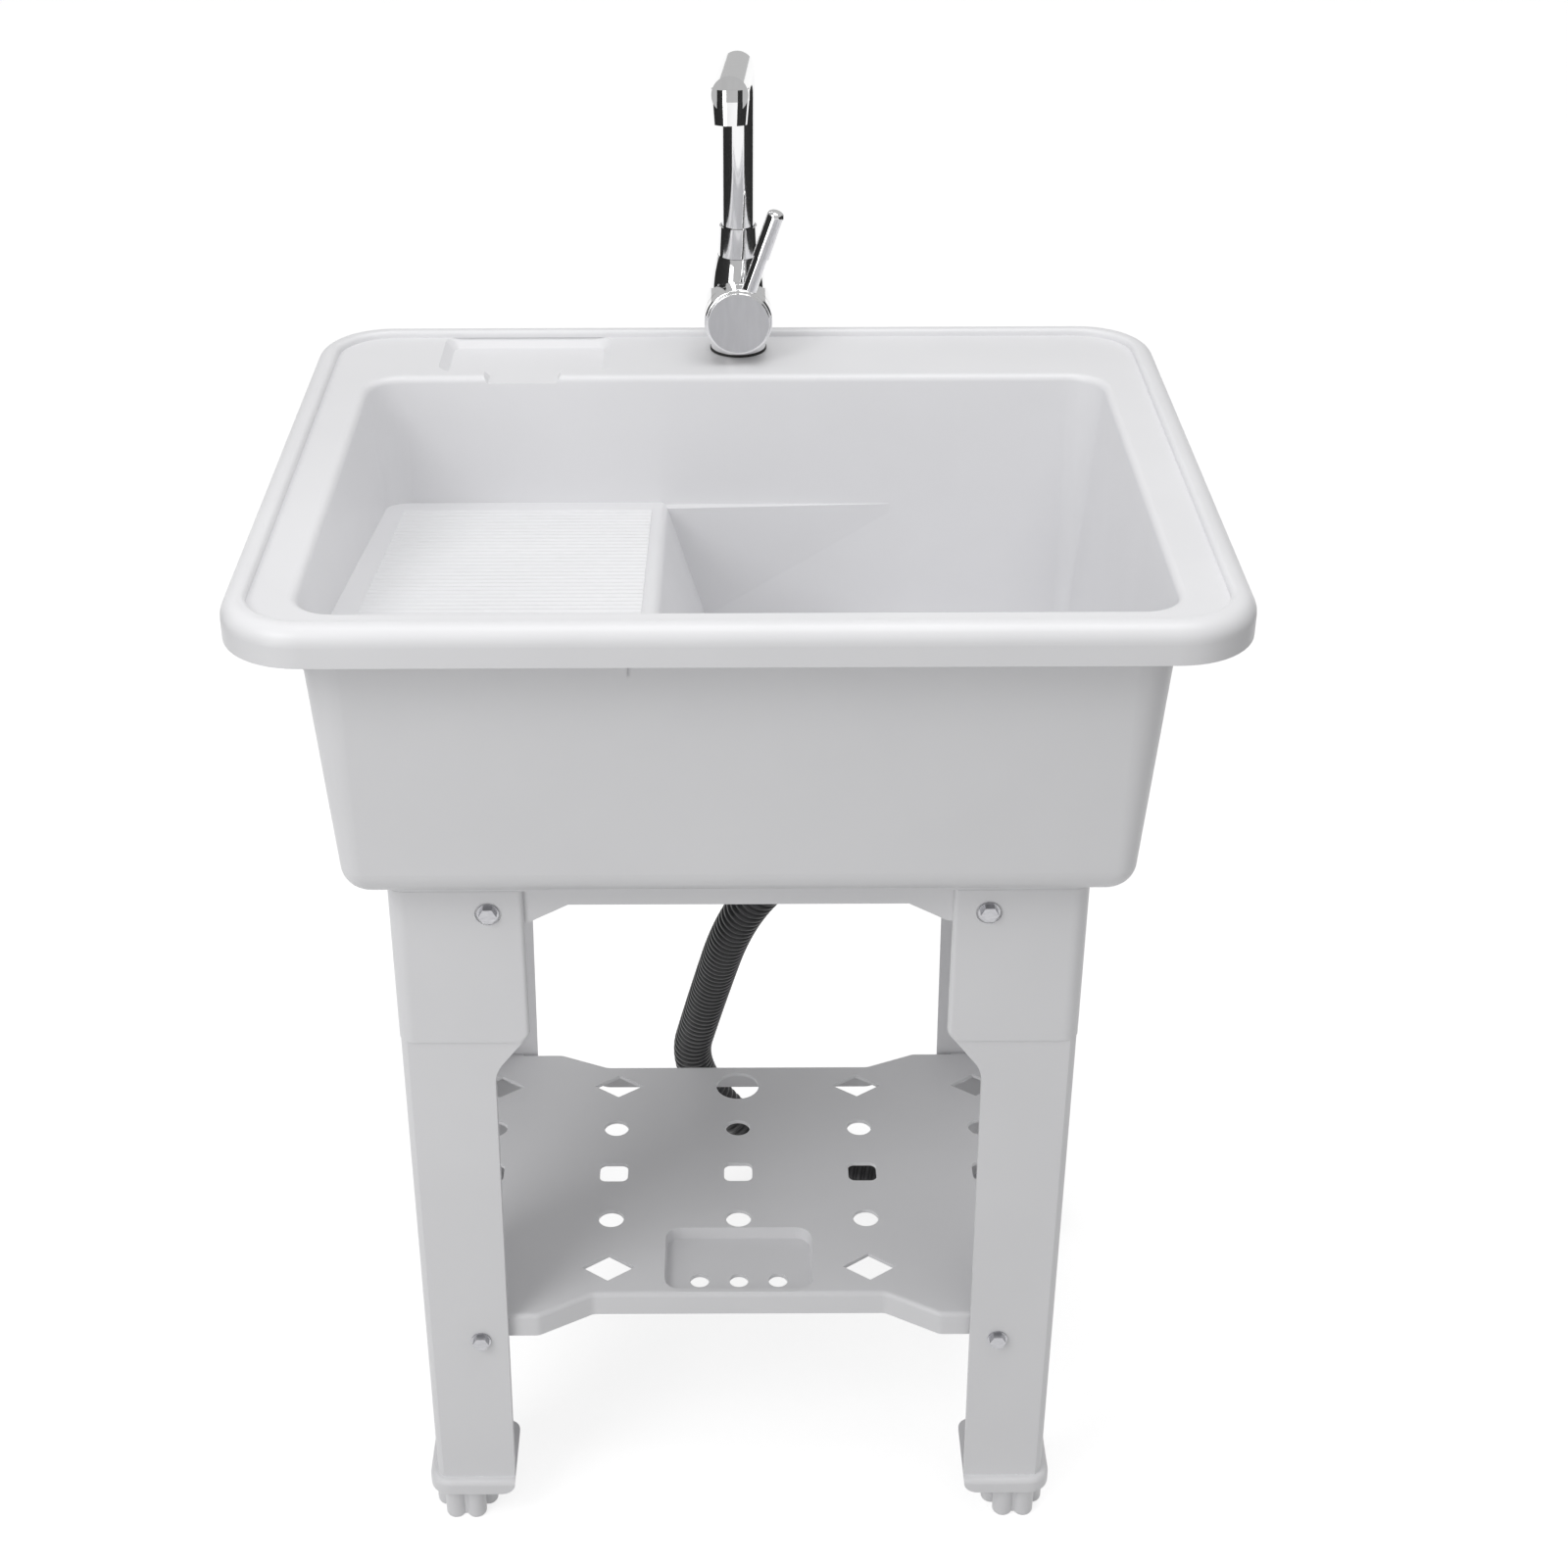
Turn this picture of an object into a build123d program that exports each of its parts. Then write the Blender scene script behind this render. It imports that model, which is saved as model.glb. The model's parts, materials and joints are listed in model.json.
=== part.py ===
from build123d import *
from math import atan2, cos, degrees, radians, sin, tan
import os

# Utility laundry sink: a moulded tub on four legs, with a shelf, a lever tap and a drain hose.
# Millimetres, +Z up, +Y towards the back; the origin is on the floor under the rim's middle.

os.makedirs("parts", exist_ok=True)

# ---------------------------------------------------------------- rim and deck
rim_width = 600
rim_depth = 500
rim_height = 780
rim_corner = 50
rim_round = 11
lip_height = 24
bead_width = 15
bead_rise = 5
bead_corner = 38
bead_soften = 3
deck_z = rim_height - bead_rise
deck_wall = 4
lip_wall = 5

# ---------------------------------------------------------------- basin
tub_wall = 3.2
floor_wall = 4
deck_side = 43
deck_front = 34
deck_rear = 94
basin_width = rim_width - 2 * deck_side
basin_depth = rim_depth - deck_front - deck_rear
basin_y = (deck_front - deck_rear) / 2
basin_corner = 24
basin_edge_round = 5
wall_lean = 4.3
tub_bottom_z = 569
tub_bottom_round = 22
bowl_floor_round = 18
floor_z = tub_bottom_z + floor_wall
band_proud = 2
band_drop = 47
band_bottom_z = rim_height - band_drop
band_right_x = -62

# ---------------------------------------------------------------- washboard
board_back_gap = 14
board_back_y = basin_y + basin_depth / 2 - board_back_gap
board_back_z = 683
board_slope = 8.6
board_right_x = -50
board_side_lean = 17.2
board_edge_round = 7
board_skin = 4
ridge_pitch = 8
ridge_width = 5.2
ridge_rise = 1.6
ridge_end_gap = 22
ridge_count = round((basin_depth - 2 * ridge_end_gap) / ridge_pitch)
ridge_middle_y = basin_y - ridge_pitch / 2
ridge_left_x = ridge_end_gap - 1 - basin_width / 2
ridge_right_x = -60
void_rib = 3
void_rib_spacing = 66
wedge_right_x = 110
wedge_left_y = board_back_y - 3.5
wedge_right_y = board_back_y + 6

# ---------------------------------------------------------------- soap recess
soap_x = -150.5
soap_inset = 48
soap_y = rim_depth / 2 - soap_inset
soap_width = 121
soap_depth_y = 70
soap_sink = 7
soap_corner = 12
soap_lean = 40
notch_width = 60
notch_lean = 30
notch_sink = 5

# ---------------------------------------------------------------- leg frame
frame_inset_x = 33
frame_inset_front = 44
frame_inset_rear = 2
frame_width = basin_width - 2 * frame_inset_x
frame_front_y = basin_y - basin_depth / 2 + frame_inset_front
frame_back_y = basin_y + basin_depth / 2 - frame_inset_rear
frame_y = (frame_front_y + frame_back_y) / 2
frame_depth = frame_back_y - frame_front_y
leg_wall = 4
fit_gap = 0.3
seat_gap = 0.2

# ---------------------------------------------------------------- apron under the tub
apron_width = frame_width - 2 * (leg_wall + fit_gap)
apron_depth = frame_depth - 2 * (leg_wall + fit_gap)
apron_wall = 4
apron_corner = 8
apron_bottom_z = 543
plinth_top_z = 595
lug_bottom_z = 530
lug_length = 86
lug_slope_run = 25
ledge_height = 13
ledge_length = 99
ledge_depth = 8

# ---------------------------------------------------------------- legs
leg_corner = 11
leg_top_z = tub_bottom_z - ledge_height - seat_gap
leg_bottom_z = 30
leg_wide = 87
leg_waist = 63
leg_ankle = 58.5
leg_shoulder_z = 443
leg_waist_z = 412
leg_shoulder_round = 8
leg_waist_round = 25
leg_ankle_round = 12
leg_step_in = 1.3
leg_step_z = 438
edge_round = 3
collar_bulge = 5
collar_top_z = 42
collar_corner = 16
collar_round = 4
boss_radius = 11
boss_top_z = 60

# ---------------------------------------------------------------- fasteners
bolt_radius = 3
bolt_clearance = 0.3
thread_gap = 0.05
bolt_head_across = 10
bolt_head_height = 4
bolt_length = 22
washer_radius = 7
washer_thickness = 1.2
nut_thickness = 5
bolt_recess_radius = 8.5
upper_bolt_inset = 64.3
upper_bolt_x = frame_width / 2 - upper_bolt_inset
upper_bolt_z = 539
lower_bolt_inset = 40.5
lower_bolt_x = frame_width / 2 - lower_bolt_inset
lower_bolt_z = 176

# ---------------------------------------------------------------- feet
foot_inset = 20
foot_x = frame_width / 2 - foot_inset
foot_lobes = 6
foot_lobe_radius = 7.5
foot_lobe_reach = 15
foot_core_radius = 16.5
foot_height = 29.4
foot_round = 3
stud_radius = 5
stud_bottom_z = 8
stud_top_z = 75
insert_radius = 7
insert_length = 15

# ---------------------------------------------------------------- shelf
shelf_top_z = 193
shelf_plate = 3
shelf_bottom_z = 174
shelf_skirt = 3
shelf_edge_round = 3.5
shelf_side_gap = 5
shelf_width = frame_width - 2 * shelf_side_gap
shelf_front_y = frame_front_y + leg_wall + 4
shelf_back_y = frame_back_y - leg_wall - 4
shelf_depth = shelf_back_y - shelf_front_y
shelf_y = (shelf_front_y + shelf_back_y) / 2
shelf_front_notch = 22
shelf_back_notch = 17
shelf_side_notch = 12
notch_inner_inset = 119
notch_outer_inset = 81
notch_inner_x = frame_width / 2 - notch_inner_inset
notch_outer_x = frame_width / 2 - notch_outer_inset
side_notch_inner = 62
side_notch_outer = 84
shelf_outline_round = 9
hole_pitch_x = 95
hole_pitch_y = 54
hole_front_gap = 50.5
hole_last_y = shelf_front_y + hole_front_gap
diamond_wide = 38.5
diamond_deep = 28.6
square_side = 21.5
square_corner = 5
small_hole_radius = 9.5
hose_hole_radius = 17
dish_width = 108
dish_depth_y = 67
dish_front_gap = 60.5
dish_y = shelf_front_y + dish_front_gap
dish_corner = 12
dish_sink = 9
dish_lean = 12
dish_hole_radius = 7
dish_hole_inset = 14.5
dish_hole_y = dish_y - dish_hole_inset
dish_hole_spacing = 28.5
shelf_lug_width = 17
shelf_lug_bottom_z = 164

# ---------------------------------------------------------------- drain
drain_x = 45
drain_y = 80
drain_hole_radius = 27
drain_boss_radius = 47
drain_boss_z = 563
drain_seat_radius = 40
drain_seat_z = 571
gasket_thickness = 1
flange_radius = 38
flange_thickness = 2
cup_radius = 26.7
cup_wall = 1.7
cup_floor_z = 558
cup_hole_radius = 4
cup_hole_circle = 15
cup_hole_count = 6
lower_gasket_thickness = 2
body_flange_radius = 40
body_flange_bottom_z = 554
body_cavity_radius = 28
body_cone_top_z = 552
body_cone_bottom_z = 530
body_wall = 3
tail_radius = 15
tail_bore = 12
tail_bottom_z = 500
spoke_hub_radius = 6
spoke_hub_bottom_z = 538
spoke_hub_top_z = 554
spoke_width = 3
drain_screw_radius = 3
drain_screw_head_radius = 5
drain_screw_head = 3
drain_screw_length = 18
strainer_radius = 23.5
strainer_wall = 1.4
strainer_top_z = 573
strainer_floor_z = 564
strainer_gap = 0.3
strainer_hole_radius = 2
strainer_hole_circle = 15.5
strainer_hole_count = 12
strainer_knob_radius = 8
strainer_knob_stem = 4
strainer_knob_z = 581
strainer_knob_thickness = 4

# ---------------------------------------------------------------- drain hose
hose_radius = 16
hose_valley = 13.8
hose_bore = 12
hose_ribs = 96
hose_plain = 14
hose_seal_thickness = 1.5
hose_nut_across = 43
hose_nut_below = 11
hose_nut_above = 14
hose_nut_bottom_z = tail_bottom_z - hose_nut_below
hose_nut_top_z = tail_bottom_z + hose_nut_above
hose_nut_gap = 0.3
hose_rest_z = 16.3
cuff_radius = 18
cuff_length = 30
cuff_insert = 12
hose_rib_share = 0.28
hose_top_z = tail_bottom_z - hose_seal_thickness
hose_back_y = rim_depth / 2 - hose_radius - 0.5
gap_samples = 400
hose_points = [
    (drain_x, drain_y, hose_top_z),
    (drain_x, drain_y, 422),
    (0, 107, 357),
    (-26, 189, 215),
    (-46, hose_back_y, 111),
    (36, hose_back_y, hose_rest_z),
    (150, 194, hose_rest_z),
    (255, 172, cuff_radius + 0.4),
]

# ---------------------------------------------------------------- tap
tap_x = 2
tap_inset = 38
tap_y = rim_depth / 2 - tap_inset
tap_hole_radius = 17.5
base_gasket_radius = 20.2
base_gasket_thickness = 1.8
tap_body_radius = 19.8
tap_waist_z = 35
tap_shoulder_z = 55
tap_shoulder_radius = 18.4
tap_top_z = 70
tap_top_radius = 14.6
tap_neck_radius = 12.8
tap_neck_z = 80
barrel_radius = 24
barrel_rise = 31.4
barrel_front = 23.6
barrel_rear = -2
barrel_round = 3
water_radius = 7
shank_radius = 14
shank_drop = 55
shank_bottom_z = deck_z - shank_drop
shank_fit = 10
inlet_radius = 4.5
inlet_depth = 12
inlet_spacing = 12
clamp_radius = 24
rubber_thickness = 3
clamp_thickness = 2
tap_nut_across = 36
tap_nut_thickness = 8

# ---------------------------------------------------------------- cartridge, forward of the tap
cartridge_radius = 17.5
cartridge_gap = 0.05
cartridge_rear = 3.2
cartridge_front = 20
turret_radius = 11.8
turret_gap = 0.06
turret_rear = 5.3
cartridge_floor = 5
turret_front = 23
slot_width = 8.5
slot_length = 18
stem_side = 8
stem_rear = 6.5
stem_front = 32.5
pivot_a = 12
pin_radius = 2
pin_gap = 0.04
pin_length = 20
cartridge_nut_front = 23.2

# ---------------------------------------------------------------- handle
lever_lean = 19
tilt_range = 18
hub_radius = 24
hub_rear = 24
hub_front = 35.5
hub_round = 1.8
hub_cavity_radius = 20.5
hub_cavity_front = 31
hub_slant_start = 24.7
hub_slant_rise = 2
hub_slant_drop = hub_slant_rise * tan(radians(tilt_range))
cap_radius = 22.2
cap_thickness = 2.3
cap_round = 1
handle_screw_radius = 2
handle_screw_head_radius = 4
handle_screw_head = 2
handle_screw_length = 12
lever_a = 29.8
rod_radius = 5.2
rod_inner = 21
rod_outer = 76
grip_inner = 49
grip_outer = 83
grip_radius = 6.2
grip_round = 4

# ---------------------------------------------------------------- spout
spout_radius = 11.5
spout_bore = 10
spout_gap = 0.06
spout_foot_z = 50
spout_elbow_z = 202
spout_elbow_round = 20
spout_reach = 165
spout_turn = 2
spout_rise = 8
spout_end_wall = 2.5
spout_nut_radius = 14.3
spout_nut_top_radius = 13.2
spout_nut_top_z = 91
oring_groove = 0.9
oring_radius = 1
oring_lower_z = 54
oring_upper_z = 60
bearing_z = 80.3
bearing_height = 1.7
bearing_radius = 12.5
bearing_split = 2
nut_cavity_z = 82.3
spout_nut_gap = 0.3
nozzle_radius = 12
nozzle_setback = 9
nozzle_top = 3
nozzle_bottom = -4.2
nozzle_bore = 9.5
aerator_top_radius = 11.8
aerator_bottom_radius = 10.6
aerator_bottom = -18.7
aerator_bore = 8.6
aerator_lip = 2
aerator_hole_radius = 1.1
aerator_hole_circle = 5


# ================================================================ tub
board_rise = tan(radians(board_slope))
board_side_run = tan(radians(board_side_lean))
board_side = Plane(
    origin=(board_right_x, board_back_y, board_back_z),
    z_dir=(1, board_rise * board_side_run, board_side_run),
)
void_side = Plane(
    origin=(board_right_x - board_skin, board_back_y, board_back_z),
    z_dir=(1, board_rise * board_side_run, board_side_run),
)
board_front_y = basin_y - basin_depth / 2 - tub_wall
board_rear_y = basin_y + basin_depth / 2 + tub_wall
board_front_z = board_back_z + board_rise * (board_back_y - board_front_y)
board_rear_z = board_back_z + board_rise * (board_back_y - board_rear_y)
board_left_x = -basin_width / 2 - tub_wall
ridge_arc = (ridge_width**2 / 4 + ridge_rise**2) / (2 * ridge_rise)
ridge_plane = Plane(
    origin=(ridge_right_x, ridge_middle_y, board_back_z + board_rise * (board_back_y - ridge_middle_y)),
    x_dir=(0, -1, board_rise),
    z_dir=(-1, 0, 0),
)

with BuildPart() as board_block:
    with BuildSketch(Plane.YZ.offset(board_left_x)):
        with BuildLine():
            Polyline(
                (board_front_y, tub_bottom_z),
                (board_front_y, board_front_z),
                (board_rear_y, board_rear_z),
                (board_rear_y, tub_bottom_z),
                close=True,
            )
        make_face()
    extrude(amount=basin_width)
    split(bisect_by=board_side, keep=Keep.BOTTOM)
    board_crest = board_block.faces().sort_by(Axis.X)[-1].edges().sort_by(Axis.Z)[-1]
    fillet(board_crest, board_edge_round)

with BuildPart() as basin:
    with BuildSketch(Plane.XY.offset(rim_height)):
        with Locations((0, basin_y)):
            RectangleRounded(basin_width, basin_depth, basin_corner)
    extrude(amount=floor_z - rim_height, taper=wall_lean)
    fillet(basin.faces().sort_by(Axis.Z)[0].edges(), bowl_floor_round)
    with BuildSketch(Plane.XY.offset(tub_bottom_z)):
        with BuildLine():
            Polyline(
                (2 * board_right_x, wedge_left_y),
                (wedge_right_x, wedge_right_y),
                (wedge_right_x, board_rear_y),
                (2 * board_right_x, board_rear_y),
                close=True,
            )
        make_face()
    extrude(amount=board_rear_z - tub_bottom_z, mode=Mode.SUBTRACT)
    add(board_block.part, mode=Mode.SUBTRACT)

with BuildPart() as void:
    with BuildSketch(Plane.XY.offset(rim_height)):
        with Locations((0, basin_y)):
            RectangleRounded(basin_width, basin_depth, basin_corner)
    extrude(amount=floor_z - rim_height, taper=wall_lean)
    fillet(void.faces().sort_by(Axis.Z)[0].edges(), bowl_floor_round)
    with BuildSketch(Plane.YZ.offset(board_left_x)):
        with BuildLine():
            Polyline(
                (board_front_y, tub_bottom_z),
                (board_front_y, board_front_z - board_skin),
                (board_rear_y, board_rear_z - board_skin),
                (board_rear_y, tub_bottom_z),
                close=True,
            )
        make_face()
    extrude(amount=basin_width, mode=Mode.INTERSECT)
    split(bisect_by=void_side, keep=Keep.BOTTOM)
    with Locations((0, frame_y, floor_z)):
        Box(
            apron_width - 4 * apron_wall,
            apron_depth - 4 * apron_wall,
            4 * floor_wall,
            align=(Align.CENTER, Align.CENTER, Align.MAX),
        )
    split(bisect_by=void_side, keep=Keep.BOTTOM)
    with GridLocations(0, void_rib_spacing, 1, 4):
        Box(
            basin_width * 2,
            void_rib,
            rim_height * 2,
            mode=Mode.SUBTRACT,
        )

with BuildPart() as tub:
    # rim moulding with its bead, deck and hollow underside
    with BuildSketch(Plane.XY.offset(rim_height)):
        RectangleRounded(rim_width, rim_depth, rim_corner)
    extrude(amount=-lip_height)
    fillet(tub.faces().sort_by(Axis.Z)[-1].edges(), rim_round)
    with BuildSketch(Plane.XY.offset(rim_height)):
        RectangleRounded(rim_width - 2 * bead_width, rim_depth - 2 * bead_width, bead_corner)
    extrude(amount=-bead_rise, mode=Mode.SUBTRACT)
    fillet(tub.faces().sort_by(Axis.Z)[-1].inner_wires()[0].edges(), bead_soften)
    with BuildSketch(Plane.XY.offset(rim_height - lip_height)):
        RectangleRounded(rim_width - 2 * lip_wall, rim_depth - 2 * lip_wall, rim_corner - lip_wall)
    extrude(amount=lip_height - bead_rise - deck_wall, mode=Mode.SUBTRACT)
    # basin shell
    with BuildSketch(Plane.XY.offset(deck_z - deck_wall / 2)):
        with Locations((0, basin_y)):
            RectangleRounded(
                basin_width + 2 * tub_wall, basin_depth + 2 * tub_wall, basin_corner + tub_wall
            )
    extrude(amount=tub_bottom_z - deck_z + deck_wall / 2, taper=wall_lean)
    fillet(tub.faces().sort_by(Axis.Z)[0].edges(), tub_bottom_round)
    # thicker band below the rim, at the left and the front
    with BuildSketch(Plane.XY.offset(deck_z - deck_wall / 2)) as band:
        with Locations((0, basin_y)):
            RectangleRounded(
                basin_width + 2 * (tub_wall + band_proud),
                basin_depth + 2 * (tub_wall + band_proud),
                basin_corner + tub_wall + band_proud,
            )
        with Locations((band_right_x, basin_y)):
            Rectangle(
                basin_width, basin_depth, align=(Align.MAX, Align.MAX), mode=Mode.INTERSECT
            )
    extrude(amount=band_bottom_z - deck_z + deck_wall / 2, taper=wall_lean)
    # plinth and apron that the legs hold
    with BuildSketch(Plane.XY.offset(lug_bottom_z)):
        with Locations((0, frame_y)):
            RectangleRounded(apron_width, apron_depth, apron_corner)
            RectangleRounded(
                apron_width - 2 * apron_wall,
                apron_depth - 2 * apron_wall,
                apron_corner - apron_wall,
                mode=Mode.SUBTRACT,
            )
    extrude(amount=tub_bottom_z - lug_bottom_z)
    with BuildSketch(Plane.XY.offset(tub_bottom_z)):
        with Locations((0, frame_y)):
            RectangleRounded(apron_width, apron_depth, apron_corner)
    extrude(amount=plinth_top_z - tub_bottom_z)
    # apron cut away between the corner lugs
    with BuildSketch(Plane.XZ.offset(rim_depth)):
        with BuildLine():
            Polyline(
                (-apron_width / 2 + lug_length, 0),
                (-apron_width / 2 + lug_length, lug_bottom_z),
                (-apron_width / 2 + lug_length + lug_slope_run, apron_bottom_z),
                (apron_width / 2 - lug_length - lug_slope_run, apron_bottom_z),
                (apron_width / 2 - lug_length, lug_bottom_z),
                (apron_width / 2 - lug_length, 0),
                close=True,
            )
        make_face()
    extrude(amount=-2 * rim_depth, mode=Mode.SUBTRACT)
    with BuildSketch(Plane.YZ.offset(-rim_width)):
        with BuildLine():
            Polyline(
                (frame_y - apron_depth / 2 + lug_length, 0),
                (frame_y - apron_depth / 2 + lug_length, lug_bottom_z),
                (frame_y - apron_depth / 2 + lug_length + lug_slope_run, apron_bottom_z),
                (frame_y + apron_depth / 2 - lug_length - lug_slope_run, apron_bottom_z),
                (frame_y + apron_depth / 2 - lug_length, lug_bottom_z),
                (frame_y + apron_depth / 2 - lug_length, 0),
                close=True,
            )
        make_face()
    extrude(amount=2 * rim_width, mode=Mode.SUBTRACT)
    # ledges that sit on the legs
    with BuildSketch(Plane.XY.offset(tub_bottom_z - ledge_height)):
        with Locations((0, frame_y)):
            RectangleRounded(frame_width, frame_depth, leg_corner)
            RectangleRounded(
                frame_width - 2 * ledge_depth,
                frame_depth - 2 * ledge_depth,
                leg_corner - ledge_depth,
                mode=Mode.SUBTRACT,
            )
            Rectangle(frame_width - 2 * ledge_length, rim_depth, mode=Mode.SUBTRACT)
            Rectangle(rim_width, frame_depth - 2 * ledge_length, mode=Mode.SUBTRACT)
    extrude(amount=ledge_height + 2)
    # drain boss, soap recess pad
    with Locations((drain_x, drain_y, floor_z)):
        Cylinder(
            drain_boss_radius,
            floor_z - drain_boss_z,
            align=(Align.CENTER, Align.CENTER, Align.MAX),
        )
    with BuildSketch(Plane.XY.offset(deck_z - deck_wall)):
        with Locations((soap_x, soap_y)):
            RectangleRounded(soap_width, soap_depth_y, soap_corner)
    extrude(amount=-soap_sink)
    with BuildSketch(Plane.XY.offset(deck_z - deck_wall)):
        with Locations((soap_x, soap_y)):
            Rectangle(
                notch_width + 4 * notch_sink,
                soap_y - basin_y - basin_depth / 2 + tub_wall,
                align=(Align.CENTER, Align.MAX),
            )
    extrude(amount=-notch_sink)
    # hollows
    add(basin.part, mode=Mode.SUBTRACT)
    deck = tub.faces().filter_by_position(Axis.Z, deck_z - seat_gap, deck_z + seat_gap)[0]
    fillet(deck.inner_wires()[0].edges(), basin_edge_round)
    add(void.part, mode=Mode.SUBTRACT)
    with BuildSketch(Plane.XY.offset(deck_z)):
        with Locations((soap_x, soap_y)):
            RectangleRounded(soap_width, soap_depth_y, soap_corner)
    extrude(amount=-soap_sink, taper=soap_lean, mode=Mode.SUBTRACT)
    with BuildSketch(Plane.XZ.offset(-soap_y)):
        with Locations((soap_x, deck_z)):
            Trapezoid(
                notch_width,
                2 * notch_sink,
                90 - notch_lean,
                rotation=180,
            )
    extrude(amount=soap_y - basin_y - basin_depth / 2 + tub_wall, mode=Mode.SUBTRACT)
    with Locations((tap_x, tap_y, deck_z)):
        Cylinder(tap_hole_radius, 4 * deck_wall, mode=Mode.SUBTRACT)
    with Locations((drain_x, drain_y, drain_seat_z)):
        Cylinder(
            drain_seat_radius,
            rim_height - floor_z,
            align=(Align.CENTER, Align.CENTER, Align.MIN),
            mode=Mode.SUBTRACT,
        )
        Cylinder(drain_hole_radius, rim_height - floor_z, mode=Mode.SUBTRACT)
    # leg bolt holes through the lugs
    with Locations((0, frame_y, upper_bolt_z)):
        with GridLocations(2 * upper_bolt_x, 0, 2, 1):
            Cylinder(
                bolt_radius + bolt_clearance, rim_depth, rotation=(90, 0, 0), mode=Mode.SUBTRACT
            )

    # washboard ridges
    with BuildSketch(ridge_plane):
        with Locations((0, ridge_rise - ridge_arc)):
            with GridLocations(ridge_pitch, 0, ridge_count, 1):
                Circle(ridge_arc)
        Rectangle(
            board_front_z * 2,
            ridge_rise + board_skin / 2,
            align=(Align.CENTER, Align.CENTER),
            mode=Mode.INTERSECT,
        )
    extrude(amount=ridge_right_x - ridge_left_x)

print("tub", tub.part.is_valid, len(tub.solids()), tub.part.bounding_box())
tub.part.label = "tub"
export_step(tub.part, "parts/tub.step")


# ================================================================ legs
corner_x = -frame_width / 2
corner_y = frame_front_y
front_plane = Plane(origin=(corner_x, corner_y, 0), x_dir=(1, 0, 0), z_dir=(0, -1, 0))
side_plane = Plane(origin=(corner_x, corner_y, 0), x_dir=(0, 1, 0), z_dir=(1, 0, 0))
frame_middle = Plane.XZ.offset(-frame_y)
foot_y = frame_front_y + foot_inset

with BuildSketch() as arm:
    with BuildLine():
        FilletPolyline(
            (0, leg_bottom_z),
            (leg_ankle, leg_bottom_z),
            (leg_waist, leg_waist_z),
            (leg_wide, leg_shoulder_z),
            (leg_wide, leg_top_z),
            (0, leg_top_z),
            radius=(0, leg_ankle_round, leg_waist_round, leg_shoulder_round, 0, 0),
            close=True,
        )
    make_face()

with BuildPart() as collar:
    with BuildSketch(Plane.XY.offset(leg_bottom_z)) as collar_plan:
        with Locations((corner_x - collar_bulge, corner_y - collar_bulge)):
            Rectangle(
                leg_ankle + collar_bulge, leg_ankle + collar_bulge, align=(Align.MIN, Align.MIN)
            )
        outer_corner = (corner_x - collar_bulge, corner_y - collar_bulge)
        fillet(collar_plan.vertices().sort_by_distance(outer_corner)[0], collar_corner)
    extrude(amount=collar_top_z - leg_bottom_z)
    fillet(collar.faces().sort_by(Axis.X)[-1].edges().sort_by(Axis.Z)[0], leg_ankle_round - 2)
    fillet(collar.faces().sort_by(Axis.Y)[-1].edges().sort_by(Axis.Z)[0], leg_ankle_round - 2)
    fillet(collar.faces().sort_by(Axis.X)[0].edges().sort_by(Axis.Z)[-1], collar_round)

with BuildPart() as leg_front_left:
    with BuildSketch(Plane.XY.offset(leg_bottom_z)) as leg_plan:
        with Locations((corner_x, corner_y)):
            Rectangle(leg_wide, leg_wide, align=(Align.MIN, Align.MIN))
        with Locations((corner_x + leg_wall, corner_y + leg_wall)):
            Rectangle(leg_wide, leg_wide, align=(Align.MIN, Align.MIN), mode=Mode.SUBTRACT)
        fillet(leg_plan.vertices().sort_by_distance((corner_x, corner_y))[0], leg_corner)
        fillet(
            leg_plan.vertices().sort_by_distance((corner_x + leg_wall, corner_y + leg_wall))[0],
            leg_corner - leg_wall,
        )
    extrude(amount=leg_top_z - leg_bottom_z)
    with BuildSketch(front_plane):
        add(arm.sketch)
    extrude(amount=-leg_wide, mode=Mode.INTERSECT)
    with BuildSketch(side_plane):
        add(arm.sketch)
    extrude(amount=leg_wide, mode=Mode.INTERSECT)
    # this rounding runs on along the bottom edge and up the other arm
    front_border = leg_front_left.faces().sort_by(Axis.Y)[0].edges()
    fillet(front_border.filter_by(lambda e: e.center().X > corner_x + leg_ankle - 2 * edge_round), edge_round)
    # slimmer outer faces below the shoulder
    with Locations((corner_x, corner_y, leg_step_z)):
        Box(
            2 * leg_step_in,
            3 * leg_wide,
            leg_step_z,
            align=(Align.CENTER, Align.CENTER, Align.MAX),
            mode=Mode.SUBTRACT,
        )
        Box(
            3 * leg_wide,
            2 * leg_step_in,
            leg_step_z,
            align=(Align.CENTER, Align.CENTER, Align.MAX),
            mode=Mode.SUBTRACT,
        )
    # foot collar, boss and insert hole
    add(collar.part)
    with Locations((-foot_x, foot_y, leg_bottom_z)):
        Cylinder(
            boss_radius,
            boss_top_z - leg_bottom_z,
            align=(Align.CENTER, Align.CENTER, Align.MIN),
        )
        Cylinder(
            stud_radius + bolt_clearance,
            4 * boss_top_z,
            mode=Mode.SUBTRACT,
        )
        Cylinder(
            insert_radius,
            insert_length,
            align=(Align.CENTER, Align.CENTER, Align.MIN),
            mode=Mode.SUBTRACT,
        )
    # bolt holes
    with Locations((-upper_bolt_x, corner_y, upper_bolt_z)):
        Cylinder(bolt_recess_radius, 2 * leg_step_in, rotation=(90, 0, 0), mode=Mode.SUBTRACT)
        Cylinder(
            bolt_radius + bolt_clearance, 4 * leg_wall, rotation=(90, 0, 0), mode=Mode.SUBTRACT
        )
    with Locations((-lower_bolt_x, corner_y, lower_bolt_z)):
        Cylinder(
            bolt_radius + bolt_clearance, 4 * leg_wall, rotation=(90, 0, 0), mode=Mode.SUBTRACT
        )
print("leg", leg_front_left.part.is_valid, len(leg_front_left.solids()))
leg_front_left.part.label = "leg_front_left"
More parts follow.
